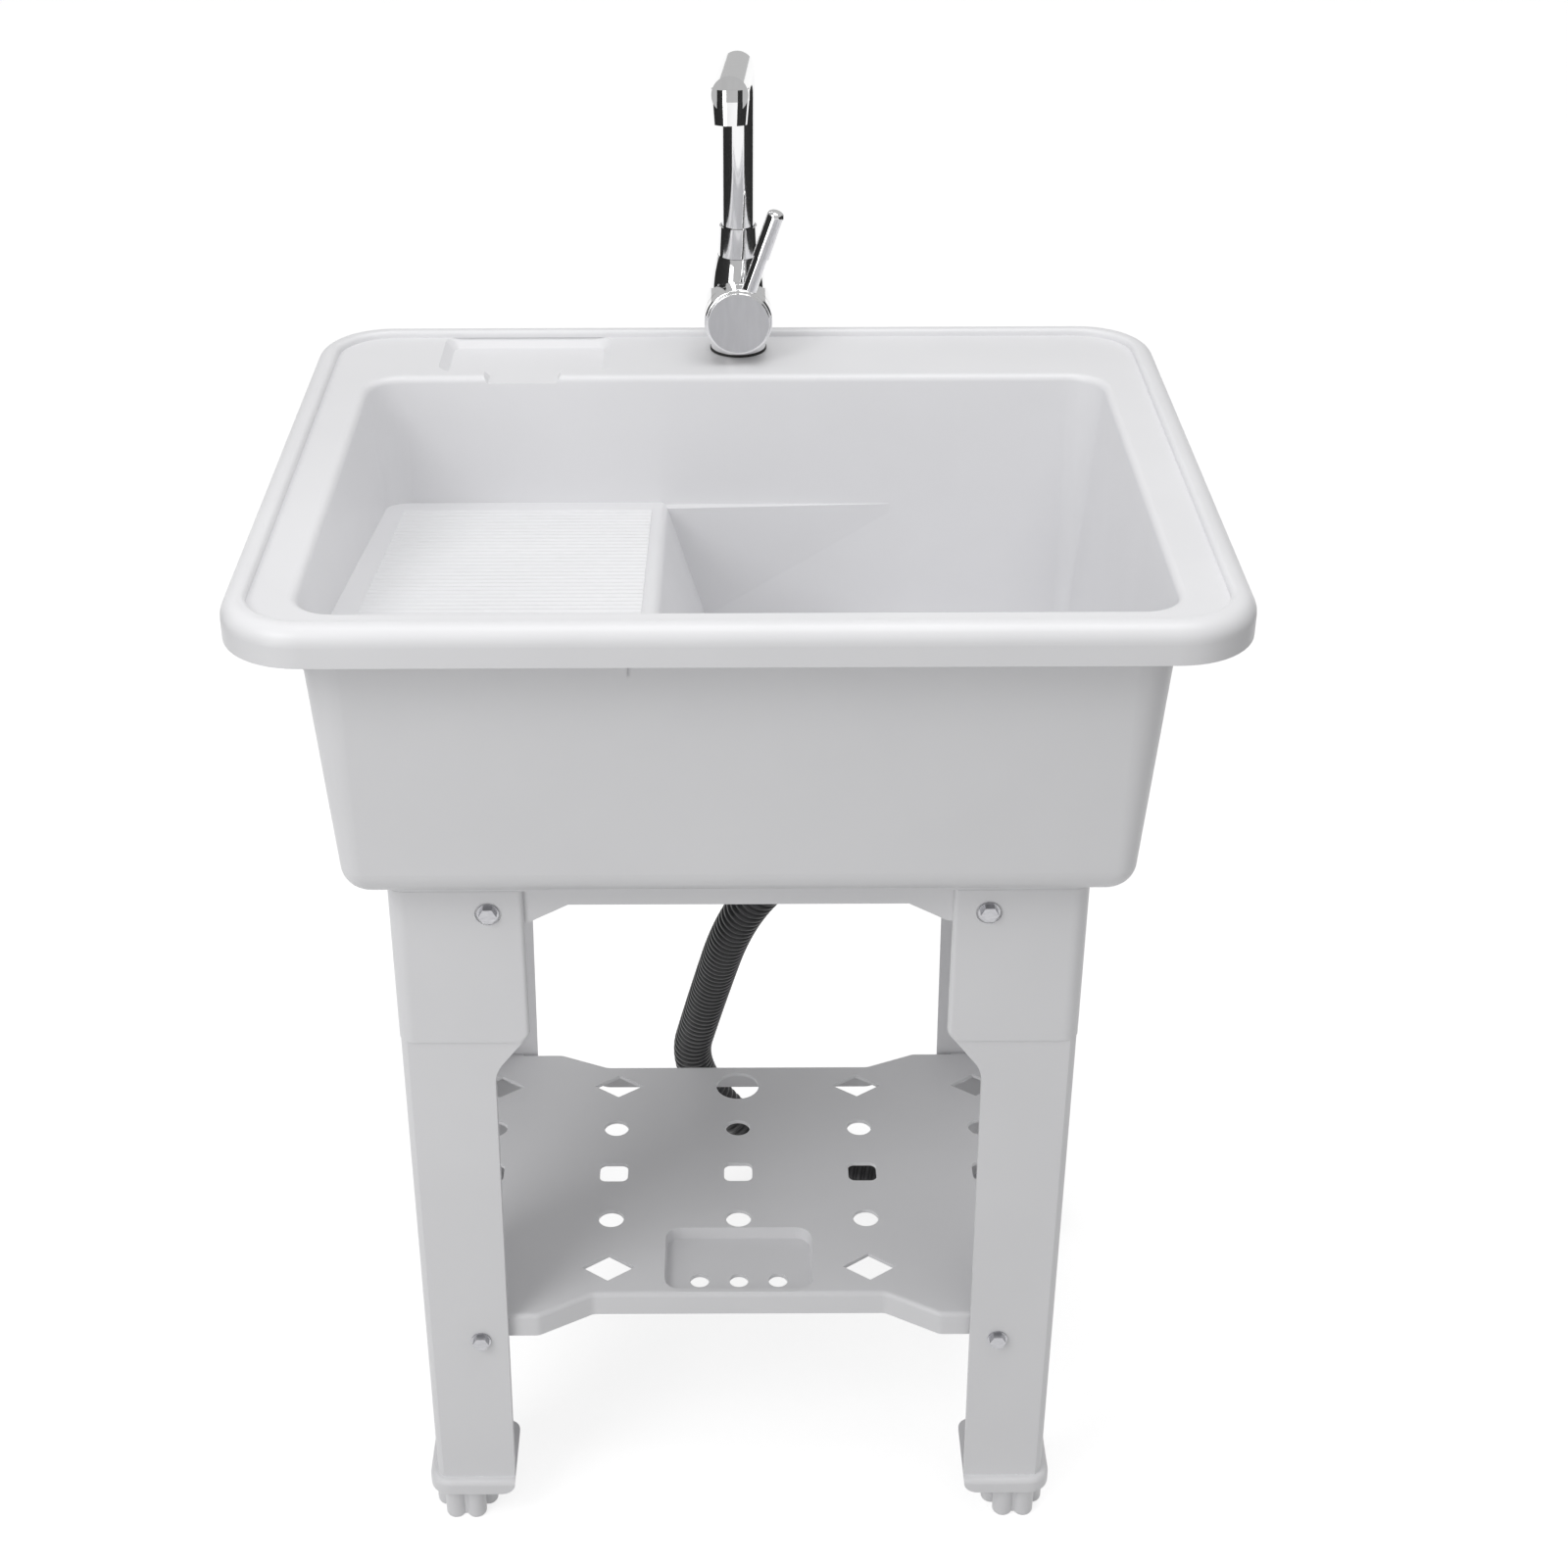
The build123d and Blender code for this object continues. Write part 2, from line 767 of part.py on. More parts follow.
export_step(leg_front_left.part, "parts/leg_front_left.step")

with BuildPart() as leg_front_right:
    mirror(leg_front_left.part, about=Plane.YZ)
leg_front_right.part.label = "leg_front_right"
export_step(leg_front_right.part, "parts/leg_front_right.step")

with BuildPart() as leg_back_left:
    mirror(leg_front_left.part, about=frame_middle)
leg_back_left.part.label = "leg_back_left"
export_step(leg_back_left.part, "parts/leg_back_left.step")

with BuildPart() as leg_back_right:
    mirror(leg_front_right.part, about=frame_middle)
leg_back_right.part.label = "leg_back_right"
export_step(leg_back_right.part, "parts/leg_back_right.step")


# ================================================================ bolts, washers and nuts
seat_y = frame_front_y + leg_step_in
head_y = seat_y - washer_thickness
apron_inner_y = frame_y - apron_depth / 2 + apron_wall
lug_inner_y = shelf_front_y + shelf_skirt
upper_points = [(-upper_bolt_x, upper_bolt_z), (upper_bolt_x, upper_bolt_z)]
lower_points = [(-lower_bolt_x, lower_bolt_z), (lower_bolt_x, lower_bolt_z)]

with BuildPart() as leg_bolts:
    with BuildSketch(Plane.XZ.offset(-head_y)):
        with Locations(*upper_points, *lower_points):
            RegularPolygon(bolt_head_across / 2, 6, major_radius=False)
    extrude(amount=bolt_head_height)
    with BuildSketch(Plane.XZ.offset(-head_y)):
        with Locations(*upper_points, *lower_points):
            Circle(bolt_radius)
    extrude(amount=-bolt_length)
    mirror(leg_bolts.part, about=frame_middle)
leg_bolts.part.label = "leg_bolts"
export_step(leg_bolts.part, "parts/leg_bolts.step")

with BuildPart() as leg_washers:
    with BuildSketch(Plane.XZ.offset(-seat_y)):
        with Locations(*upper_points, *lower_points):
            Circle(washer_radius)
            Circle(bolt_radius + thread_gap, mode=Mode.SUBTRACT)
    extrude(amount=washer_thickness)
    mirror(leg_washers.part, about=frame_middle)
leg_washers.part.label = "leg_washers"
export_step(leg_washers.part, "parts/leg_washers.step")

with BuildPart() as leg_nuts:
    with BuildSketch(Plane.XZ.offset(-apron_inner_y)):
        with Locations(*upper_points):
            RegularPolygon(bolt_head_across / 2, 6, major_radius=False)
            Circle(bolt_radius + thread_gap, mode=Mode.SUBTRACT)
    extrude(amount=-nut_thickness)
    with BuildSketch(Plane.XZ.offset(-lug_inner_y)):
        with Locations(*lower_points):
            RegularPolygon(bolt_head_across / 2, 6, major_radius=False)
            Circle(bolt_radius + thread_gap, mode=Mode.SUBTRACT)
    extrude(amount=-nut_thickness)
    mirror(leg_nuts.part, about=frame_middle)
leg_nuts.part.label = "leg_nuts"
export_step(leg_nuts.part, "parts/leg_nuts.step")


# ================================================================ levelling feet
with BuildPart() as foot_inserts:
    with Locations((0, frame_y, leg_bottom_z)):
        with GridLocations(2 * foot_x, 2 * (frame_y - foot_y), 2, 2):
            Cylinder(insert_radius, insert_length, align=(Align.CENTER, Align.CENTER, Align.MIN))
            Cylinder(stud_radius + thread_gap, 3 * insert_length, mode=Mode.SUBTRACT)
foot_inserts.part.label = "foot_inserts"
export_step(foot_inserts.part, "parts/foot_inserts.step")

with BuildPart() as foot_stud_front_left:
    with Locations((-foot_x, foot_y, stud_bottom_z)):
        Cylinder(
            stud_radius, stud_top_z - stud_bottom_z, align=(Align.CENTER, Align.CENTER, Align.MIN)
        )
    chamfer(foot_stud_front_left.faces().sort_by(Axis.Z)[-1].edges(), stud_radius / 5)
foot_stud_front_left.part.label = "foot_stud_front_left"
export_step(foot_stud_front_left.part, "parts/foot_stud_front_left.step")

with BuildPart() as foot_knob_front_left:
    with BuildSketch():
        with Locations((-foot_x, foot_y)):
            Circle(foot_core_radius)
            with PolarLocations(foot_lobe_reach, foot_lobes):
                Circle(foot_lobe_radius)
    extrude(amount=foot_height)
    fillet(foot_knob_front_left.faces().sort_by(Axis.Z)[0].edges(), foot_round)
    fillet(foot_knob_front_left.faces().sort_by(Axis.Z)[-1].edges(), foot_round)
    with Locations((-foot_x, foot_y, stud_bottom_z)):
        Cylinder(
            stud_radius + thread_gap,
            foot_height,
            align=(Align.CENTER, Align.CENTER, Align.MIN),
            mode=Mode.SUBTRACT,
        )
foot_knob_front_left.part.label = "foot_knob_front_left"
export_step(foot_knob_front_left.part, "parts/foot_knob_front_left.step")

with BuildPart() as foot_stud_front_right:
    mirror(foot_stud_front_left.part, about=Plane.YZ)
foot_stud_front_right.part.label = "foot_stud_front_right"
export_step(foot_stud_front_right.part, "parts/foot_stud_front_right.step")

with BuildPart() as foot_knob_front_right:
    mirror(foot_knob_front_left.part, about=Plane.YZ)
foot_knob_front_right.part.label = "foot_knob_front_right"
export_step(foot_knob_front_right.part, "parts/foot_knob_front_right.step")

with BuildPart() as foot_stud_back_left:
    mirror(foot_stud_front_left.part, about=frame_middle)
foot_stud_back_left.part.label = "foot_stud_back_left"
export_step(foot_stud_back_left.part, "parts/foot_stud_back_left.step")

with BuildPart() as foot_knob_back_left:
    mirror(foot_knob_front_left.part, about=frame_middle)
foot_knob_back_left.part.label = "foot_knob_back_left"
export_step(foot_knob_back_left.part, "parts/foot_knob_back_left.step")

with BuildPart() as foot_stud_back_right:
    mirror(foot_stud_front_right.part, about=frame_middle)
foot_stud_back_right.part.label = "foot_stud_back_right"
export_step(foot_stud_back_right.part, "parts/foot_stud_back_right.step")

with BuildPart() as foot_knob_back_right:
    mirror(foot_knob_front_right.part, about=frame_middle)
foot_knob_back_right.part.label = "foot_knob_back_right"
export_step(foot_knob_back_right.part, "parts/foot_knob_back_right.step")


# ================================================================ shelf
shelf_lug_depth = lug_inner_y - frame_y + apron_depth / 2
hole_row_y = [hole_last_y + hole_pitch_y * row for row in range(5)]
diamond_points = [(column * hole_pitch_x, 0) for column in (-2, -1, 1, 2)]

with BuildSketch() as shelf_outline:
    with Locations((0, shelf_y)):
        Rectangle(shelf_width, shelf_depth)
    with BuildLine():
        Polyline(
            (-notch_outer_x, shelf_front_y),
            (-notch_inner_x, shelf_front_y + shelf_front_notch),
            (notch_inner_x, shelf_front_y + shelf_front_notch),
            (notch_outer_x, shelf_front_y),
            close=True,
        )
    make_face(mode=Mode.SUBTRACT)
    with BuildLine():
        Polyline(
            (-notch_outer_x, shelf_back_y),
            (-notch_inner_x, shelf_back_y - shelf_back_notch),
            (notch_inner_x, shelf_back_y - shelf_back_notch),
            (notch_outer_x, shelf_back_y),
            close=True,
        )
    make_face(mode=Mode.SUBTRACT)
    with BuildLine():
        Polyline(
            (-shelf_width / 2, frame_y - side_notch_outer),
            (-shelf_width / 2 + shelf_side_notch, frame_y - side_notch_inner),
            (-shelf_width / 2 + shelf_side_notch, frame_y + side_notch_inner),
            (-shelf_width / 2, frame_y + side_notch_outer),
            close=True,
        )
        mirror(about=Plane.YZ)
    make_face(mode=Mode.SUBTRACT)
    fillet(shelf_outline.vertices(), shelf_outline_round)

with BuildPart() as shelf:
    with BuildSketch(Plane.XY.offset(shelf_bottom_z)):
        add(shelf_outline.sketch)
    extrude(amount=shelf_top_z - shelf_bottom_z)
    fillet(shelf.faces().sort_by(Axis.Z)[-1].edges(), shelf_edge_round)
    with BuildSketch(Plane.XY.offset(shelf_bottom_z)):
        add(shelf_outline.sketch)
        offset(amount=-shelf_skirt)
    extrude(amount=shelf_top_z - shelf_plate - shelf_bottom_z, mode=Mode.SUBTRACT)
    # soap dish
    with BuildSketch(Plane.XY.offset(shelf_top_z)):
        with Locations((0, dish_y)):
            RectangleRounded(
                dish_width + 2 * shelf_plate, dish_depth_y + 2 * shelf_plate, dish_corner + shelf_plate
            )
    extrude(amount=-dish_sink - shelf_plate, taper=dish_lean)
    with BuildSketch(Plane.XY.offset(shelf_top_z)):
        with Locations((0, dish_y)):
            RectangleRounded(dish_width, dish_depth_y, dish_corner)
    extrude(amount=-dish_sink, taper=dish_lean, mode=Mode.SUBTRACT)
    # hole pattern
    with BuildSketch(Plane.XY.offset(shelf_top_z)):
        with Locations((0, hole_row_y[4]), (0, hole_row_y[0])):
            with Locations(*diamond_points):
                Polygon(
                    (-diamond_wide / 2, 0),
                    (0, -diamond_deep / 2),
                    (diamond_wide / 2, 0),
                    (0, diamond_deep / 2),
                )
        with Locations((0, hole_row_y[3]), (0, hole_row_y[1])):
            with GridLocations(hole_pitch_x, 0, 5, 1):
                Circle(small_hole_radius)
        with Locations((0, hole_row_y[2])):
            with GridLocations(hole_pitch_x, 0, 5, 1):
                RectangleRounded(square_side, square_side, square_corner)
        with Locations((0, hole_row_y[4])):
            Circle(hose_hole_radius)
        with Locations((0, dish_hole_y)):
            with GridLocations(dish_hole_spacing, 0, 3, 1):
                Circle(dish_hole_radius)
    extrude(amount=-dish_sink - 2 * shelf_plate, mode=Mode.SUBTRACT)
    # lugs that the lower leg bolts hold
    with Locations((0, frame_y, shelf_lug_bottom_z)):
        with GridLocations(2 * lower_bolt_x, apron_depth - shelf_lug_depth, 2, 2):
            Box(
                shelf_lug_width,
                shelf_lug_depth,
                shelf_top_z - shelf_plate - shelf_lug_bottom_z,
                align=(Align.CENTER, Align.CENTER, Align.MIN),
            )
    with Locations((0, frame_y, shelf_lug_bottom_z)):
        Box(
            rim_width,
            2 * (frame_y - lug_inner_y),
            shelf_bottom_z - shelf_lug_bottom_z,
            align=(Align.CENTER, Align.CENTER, Align.MIN),
            mode=Mode.SUBTRACT,
        )
    with Locations((0, frame_y, lower_bolt_z)):
        with GridLocations(2 * lower_bolt_x, 0, 2, 1):
            Cylinder(
                bolt_radius + bolt_clearance, rim_depth, rotation=(90, 0, 0), mode=Mode.SUBTRACT
            )
print("shelf", shelf.part.is_valid, len(shelf.solids()), shelf.part.bounding_box())
shelf.part.label = "shelf"
export_step(shelf.part, "parts/shelf.step")


# ================================================================ drain
with BuildPart() as drain_top_gasket:
    with Locations((drain_x, drain_y, drain_seat_z)):
        Cylinder(flange_radius, gasket_thickness, align=(Align.CENTER, Align.CENTER, Align.MIN))
        Cylinder(drain_hole_radius, rim_depth, mode=Mode.SUBTRACT)
drain_top_gasket.part.label = "drain_top_gasket"
export_step(drain_top_gasket.part, "parts/drain_top_gasket.step")

flange_z = drain_seat_z + gasket_thickness
with BuildPart() as drain_flange:
    with Locations((drain_x, drain_y, flange_z)):
        Cylinder(flange_radius, flange_thickness, align=(Align.CENTER, Align.CENTER, Align.MIN))
        Cylinder(
            cup_radius,
            flange_z - cup_floor_z + cup_wall,
            align=(Align.CENTER, Align.CENTER, Align.MAX),
        )
    fillet(drain_flange.faces().sort_by(Axis.Z)[-1].edges(), flange_thickness * 0.7)
    with Locations((drain_x, drain_y, cup_floor_z)):
        Cylinder(
            cup_radius - cup_wall,
            rim_height - floor_z,
            align=(Align.CENTER, Align.CENTER, Align.MIN),
            mode=Mode.SUBTRACT,
        )
        Cylinder(drain_screw_radius + thread_gap, rim_depth, mode=Mode.SUBTRACT)
        with PolarLocations(cup_hole_circle, cup_hole_count):
            Cylinder(cup_hole_radius, rim_depth, mode=Mode.SUBTRACT)
drain_flange.part.label = "drain_flange"
export_step(drain_flange.part, "parts/drain_flange.step")

with BuildPart() as drain_lower_gasket:
    with Locations((drain_x, drain_y, drain_boss_z)):
        Cylinder(
            body_flange_radius, lower_gasket_thickness, align=(Align.CENTER, Align.CENTER, Align.MAX)
        )
        Cylinder(drain_hole_radius, rim_depth, mode=Mode.SUBTRACT)
drain_lower_gasket.part.label = "drain_lower_gasket"
export_step(drain_lower_gasket.part, "parts/drain_lower_gasket.step")

body_top_z = drain_boss_z - lower_gasket_thickness
drain_axis = Plane(origin=(drain_x, drain_y, 0), x_dir=(1, 0, 0), z_dir=(0, -1, 0))
with BuildPart() as drain_body:
    with BuildSketch(drain_axis):
        with BuildLine():
            Polyline(
                (0, body_top_z),
                (body_flange_radius, body_top_z),
                (body_flange_radius, body_flange_bottom_z),
                (body_cavity_radius + body_wall, body_flange_bottom_z),
                (body_cavity_radius + body_wall, body_cone_top_z),
                (tail_radius, body_cone_bottom_z),
                (tail_radius, tail_bottom_z),
                (0, tail_bottom_z),
                close=True,
            )
        make_face()
    revolve(axis=Axis((drain_x, drain_y, 0), (0, 0, 1)))
    with BuildSketch(drain_axis):
        with BuildLine():
            Polyline(
                (0, body_top_z),
                (body_cavity_radius, body_top_z),
                (body_cavity_radius, body_cone_top_z),
                (tail_bore, body_cone_bottom_z),
                (tail_bore, tail_bottom_z),
                (0, tail_bottom_z),
                close=True,
            )
        make_face()
    revolve(axis=Axis((drain_x, drain_y, 0), (0, 0, 1)), mode=Mode.SUBTRACT)
    # spokes that hold the centre screw
    with Locations((drain_x, drain_y, spoke_hub_bottom_z)):
        Cylinder(
            spoke_hub_radius,
            spoke_hub_top_z - spoke_hub_bottom_z,
            align=(Align.CENTER, Align.CENTER, Align.MIN),
        )
        with PolarLocations((spoke_hub_radius + body_cavity_radius) / 2 - 1, 3):
            Box(
                body_cavity_radius - spoke_hub_radius + 2,
                spoke_width,
                spoke_hub_top_z - body_cone_top_z + body_wall,
                align=(Align.CENTER, Align.CENTER, Align.MIN),
            )
        Cylinder(drain_screw_radius + thread_gap, rim_depth, mode=Mode.SUBTRACT)
print("drain body", drain_body.part.is_valid, len(drain_body.solids()))
drain_body.part.label = "drain_body"
export_step(drain_body.part, "parts/drain_body.step")

with BuildPart() as drain_screw:
    with Locations((drain_x, drain_y, cup_floor_z)):
        Cylinder(
            drain_screw_head_radius,
            drain_screw_head,
            align=(Align.CENTER, Align.CENTER, Align.MIN),
        )
        Cylinder(
            drain_screw_radius,
            drain_screw_length,
            align=(Align.CENTER, Align.CENTER, Align.MAX),
        )
    with Locations((drain_x, drain_y, cup_floor_z + drain_screw_head)):
        Box(
            2 * drain_screw_head_radius,
            drain_screw_head / 2,
            drain_screw_head,
            mode=Mode.SUBTRACT,
        )
drain_screw.part.label = "drain_screw"
export_step(drain_screw.part, "parts/drain_screw.step")

with BuildPart() as basket_strainer:
    with Locations((drain_x, drain_y, cup_floor_z + strainer_gap)):
        Cylinder(
            strainer_radius,
            strainer_top_z - cup_floor_z - strainer_gap,
            align=(Align.CENTER, Align.CENTER, Align.MIN),
        )
        Cylinder(
            strainer_radius - strainer_wall,
            strainer_floor_z - strainer_wall - cup_floor_z - strainer_gap,
            align=(Align.CENTER, Align.CENTER, Align.MIN),
            mode=Mode.SUBTRACT,
        )
    with Locations((drain_x, drain_y, strainer_floor_z)):
        Cylinder(
            strainer_radius - strainer_wall,
            rim_height - floor_z,
            align=(Align.CENTER, Align.CENTER, Align.MIN),
            mode=Mode.SUBTRACT,
        )
        with PolarLocations(strainer_hole_circle, strainer_hole_count):
            Cylinder(strainer_hole_radius, 4 * strainer_wall, mode=Mode.SUBTRACT)
        Cylinder(
            strainer_knob_stem,
            strainer_knob_z - strainer_floor_z,
            align=(Align.CENTER, Align.CENTER, Align.MIN),
        )
    with Locations((drain_x, drain_y, strainer_knob_z)):
        Cylinder(
            strainer_knob_radius,
            strainer_knob_thickness,
            align=(Align.CENTER, Align.CENTER, Align.MIN),
        )
    fillet(basket_strainer.faces().sort_by(Axis.Z)[-1].edges(), strainer_knob_thickness / 3)
print("strainer", basket_strainer.part.is_valid, len(basket_strainer.solids()))
basket_strainer.part.label = "basket_strainer"
export_step(basket_strainer.part, "parts/basket_strainer.step")


# ================================================================ drain hose
with BuildPart() as hose_seal:
    with Locations((drain_x, drain_y, tail_bottom_z)):
        Cylinder(tail_radius, hose_seal_thickness, align=(Align.CENTER, Align.CENTER, Align.MAX))
        Cylinder(tail_bore, rim_depth, mode=Mode.SUBTRACT)
hose_seal.part.label = "hose_seal"
export_step(hose_seal.part, "parts/hose_seal.step")

with BuildPart() as hose_nut:
    with BuildSketch(Plane.XY.offset(hose_nut_bottom_z)):
        with Locations((drain_x, drain_y)):
            RegularPolygon(hose_nut_across / 2, 8, major_radius=False)
    extrude(amount=hose_nut_top_z - hose_nut_bottom_z)
    chamfer(hose_nut.faces().group_by(Axis.Z)[-1].edges(), 1)
    with Locations((drain_x, drain_y, tail_bottom_z)):
        Cylinder(tail_radius + thread_gap, rim_depth, mode=Mode.SUBTRACT)
        Cylinder(
            hose_radius + hose_nut_gap,
            rim_depth,
            align=(Align.CENTER, Align.CENTER, Align.MAX),
            mode=Mode.SUBTRACT,
        )
hose_nut.part.label = "hose_nut"
export_step(hose_nut.part, "parts/hose_nut.step")

# radius of each bend: as wide as the shorter run beside it allows
hose_corners = [Vector(*point) for point in hose_points]
hose_runs = [end - start for start, end in zip(hose_corners, hose_corners[1:])]
hose_bends = []
for i in range(len(hose_runs) - 1):
    half_turn = radians(hose_runs[i].get_angle(hose_runs[i + 1])) / 2
    shorter_run = min(hose_runs[i].length, hose_runs[i + 1].length)
    hose_bends.append(0.45 * shorter_run / tan(half_turn))
print("hose bend radii", [round(r) for r in hose_bends])

with BuildLine() as hose_route:
    FilletPolyline(*hose_points, radius=hose_bends)
hose_path = hose_route.wires()[0]
hose_length = hose_path.length
rib_pitch = (hose_length - 2 * hose_plain) / hose_ribs
print("hose length", round(hose_length), "rib pitch", round(rib_pitch, 2))

with BuildPart() as drain_hose:
    for step in range(4 * hose_ribs + 2):
        rib = (step - 1) // 4
        corner = (step - 1) % 4
        along = hose_plain + rib_pitch * (rib + (corner // 2) / 2 + (corner % 2) * hose_rib_share)
        if step == 0:
            along = 0
        if step == 4 * hose_ribs + 1:
            along = hose_length
        ring_radius = hose_valley if corner >= 2 else hose_radius
        if step in (0, 4 * hose_ribs + 1):
            ring_radius = hose_radius
        heading = hose_path.tangent_at(along / hose_length)
        ring_plane = Plane(
            origin=hose_path.position_at(along / hose_length),
            x_dir=Vector(0.3, 1, 0).cross(heading),
            z_dir=heading,
        )
        with BuildSketch(ring_plane):
            Circle(ring_radius)
    loft(ruled=True)
    with BuildSketch(Plane(origin=hose_path @ 0, z_dir=hose_path % 0)):
        Circle(hose_bore)
    sweep(path=hose_path, mode=Mode.SUBTRACT)
print("hose", drain_hose.part.is_valid, len(drain_hose.solids()), drain_hose.part.bounding_box())
print("hose volume", round(drain_hose.part.volume))
drain_hose.part.label = "drain_hose"
export_step(drain_hose.part, "parts/drain_hose.step")

# least gap of the hose to itself, between points more than five diameters of hose apart
gap_points = [hose_path @ (i / gap_samples) for i in range(gap_samples + 1)]
gap_apart = int(gap_samples * 10 * hose_radius / hose_length)
least_gap = min(
    (gap_points[i] - gap_points[j]).length - 2 * hose_radius
    for i in range(gap_samples + 1)
    for j in range(i + gap_apart, gap_samples + 1)
)
print("least gap of the hose to itself", round(least_gap, 1))

hose_end = hose_path @ 1
hose_heading = hose_path % 1
with BuildPart() as hose_cuff:
    with BuildSketch(Plane(origin=hose_end - hose_heading * cuff_insert, z_dir=hose_heading)):
        Circle(cuff_radius)
    extrude(amount=cuff_length)
    with BuildSketch(Plane(origin=hose_end - hose_heading * cuff_insert, z_dir=hose_heading)):
        Circle(hose_radius + thread_gap)
    extrude(amount=cuff_insert, mode=Mode.SUBTRACT)
    with BuildSketch(Plane(origin=hose_end, z_dir=hose_heading)):
        Circle(hose_bore)
    extrude(amount=cuff_length, mode=Mode.SUBTRACT)
print("cuff", hose_cuff.part.is_valid, hose_cuff.part.bounding_box(), hose_end, hose_heading)
hose_cuff.part.label = "hose_cuff"
export_step(hose_cuff.part, "parts/hose_cuff.step")


# ================================================================ tap body and its fixing
tap_axis_z = deck_z + barrel_rise
tap_face = Plane(origin=(tap_x, tap_y, tap_axis_z), x_dir=(1, 0, 0), z_dir=(0, -1, 0))
tap_upright = Axis((tap_x, tap_y, 0), (0, 0, 1))

with BuildPart() as tap_base_gasket:
    with Locations((tap_x, tap_y, deck_z)):
        Cylinder(
            base_gasket_radius,
            base_gasket_thickness,
            align=(Align.CENTER, Align.CENTER, Align.MIN),
        )
        Cylinder(shank_radius + bolt_clearance, rim_depth, mode=Mode.SUBTRACT)
tap_base_gasket.part.label = "tap_base_gasket"
export_step(tap_base_gasket.part, "parts/tap_base_gasket.step")

with BuildPart() as tap_body:
    with BuildSketch(Plane(origin=(tap_x, tap_y, deck_z), x_dir=(1, 0, 0), z_dir=(0, -1, 0))):
        with BuildLine():
            Line((0, base_gasket_thickness), (tap_body_radius, base_gasket_thickness))
            Line((tap_body_radius, base_gasket_thickness), (tap_body_radius, tap_waist_z))
            shoulder = TangentArc(
                (tap_body_radius, tap_waist_z), (tap_shoulder_radius, tap_shoulder_z), tangent=(0, 1)
            )
            TangentArc(shoulder @ 1, (tap_top_radius, tap_top_z), tangent=shoulder % 1)
            Polyline(
                (tap_top_radius, tap_top_z),
                (tap_neck_radius, tap_top_z),
                (tap_neck_radius, tap_neck_z),
                (0, tap_neck_z),
                (0, base_gasket_thickness),
            )
        make_face()
    revolve(axis=tap_upright)
    with BuildSketch(tap_face.offset(barrel_rear)):
        Circle(barrel_radius)
    extrude(amount=barrel_front - barrel_rear)
    fillet(tap_body.faces().sort_by(Axis.Y)[0].edges(), barrel_round / 4)
    # cartridge bore, water way, spout socket and shank bore
    with BuildSketch(tap_face.offset(cartridge_rear)):
        Circle(cartridge_radius + cartridge_gap)
    extrude(amount=barrel_front, mode=Mode.SUBTRACT)
    with Locations((tap_x, tap_y, deck_z)):
        Cylinder(
            water_radius,
            spout_foot_z,
            align=(Align.CENTER, Align.CENTER, Align.MIN),
            mode=Mode.SUBTRACT,
        )
        Cylinder(
            shank_radius + thread_gap,
            base_gasket_thickness + shank_fit,
            align=(Align.CENTER, Align.CENTER, Align.MIN),
            mode=Mode.SUBTRACT,
        )
    with Locations((tap_x, tap_y, deck_z + spout_foot_z - seat_gap)):
        Cylinder(
            spout_radius + spout_gap,
            tap_neck_z,
            align=(Align.CENTER, Align.CENTER, Align.MIN),
            mode=Mode.SUBTRACT,
        )
print("tap body", tap_body.part.is_valid, len(tap_body.solids()), tap_body.part.bounding_box())
tap_body.part.label = "tap_body"
export_step(tap_body.part, "parts/tap_body.step")

with BuildPart() as tap_shank:
    with Locations((tap_x, tap_y, shank_bottom_z)):
        Cylinder(
            shank_radius,
            deck_z + base_gasket_thickness + shank_fit - shank_bottom_z,
            align=(Align.CENTER, Align.CENTER, Align.MIN),
        )
        with GridLocations(inlet_spacing, 0, 2, 1):
            Cylinder(inlet_radius, 2 * inlet_depth, mode=Mode.SUBTRACT)
    chamfer(tap_shank.faces().sort_by(Axis.Z)[0].outer_wire().edges(), inlet_radius / 5)
tap_shank.part.label = "tap_shank"
export_step(tap_shank.part, "parts/tap_shank.step")

deck_under_z = deck_z - deck_wall
with BuildPart() as tap_washer:
    with Locations((tap_x, tap_y, deck_under_z)):
        Cylinder(clamp_radius, rubber_thickness, align=(Align.CENTER, Align.CENTER, Align.MAX))
        Cylinder(shank_radius + bolt_clearance, rim_depth, mode=Mode.SUBTRACT)
tap_washer.part.label = "tap_washer"
export_step(tap_washer.part, "parts/tap_washer.step")

with BuildPart() as tap_clamp_plate:
    with Locations((tap_x, tap_y, deck_under_z - rubber_thickness)):
        Cylinder(clamp_radius, clamp_thickness, align=(Align.CENTER, Align.CENTER, Align.MAX))
        Cylinder(shank_radius + bolt_clearance, rim_depth, mode=Mode.SUBTRACT)
tap_clamp_plate.part.label = "tap_clamp_plate"
export_step(tap_clamp_plate.part, "parts/tap_clamp_plate.step")

with BuildPart() as tap_nut:
    with BuildSketch(Plane.XY.offset(deck_under_z - rubber_thickness - clamp_thickness)):
        with Locations((tap_x, tap_y)):
            RegularPolygon(tap_nut_across / 2, 6, major_radius=False)
            Circle(shank_radius + thread_gap, mode=Mode.SUBTRACT)
    extrude(amount=-tap_nut_thickness)
tap_nut.part.label = "tap_nut"
export_step(tap_nut.part, "parts/tap_nut.step")


# ================================================================ cartridge and handle
lean = radians(lever_lean)
lever_dir = (sin(lean), 0, cos(lean))
tilt_dir = (cos(lean), 0, -sin(lean))
handle_face = Plane(origin=tap_face.origin, x_dir=tilt_dir, z_dir=(0, -1, 0))
tilt_face = Plane(origin=tap_face.origin, x_dir=lever_dir, z_dir=tilt_dir)
lever_face = Plane(
    origin=(tap_x, tap_y - lever_a, tap_axis_z), x_dir=tilt_dir, z_dir=lever_dir
)

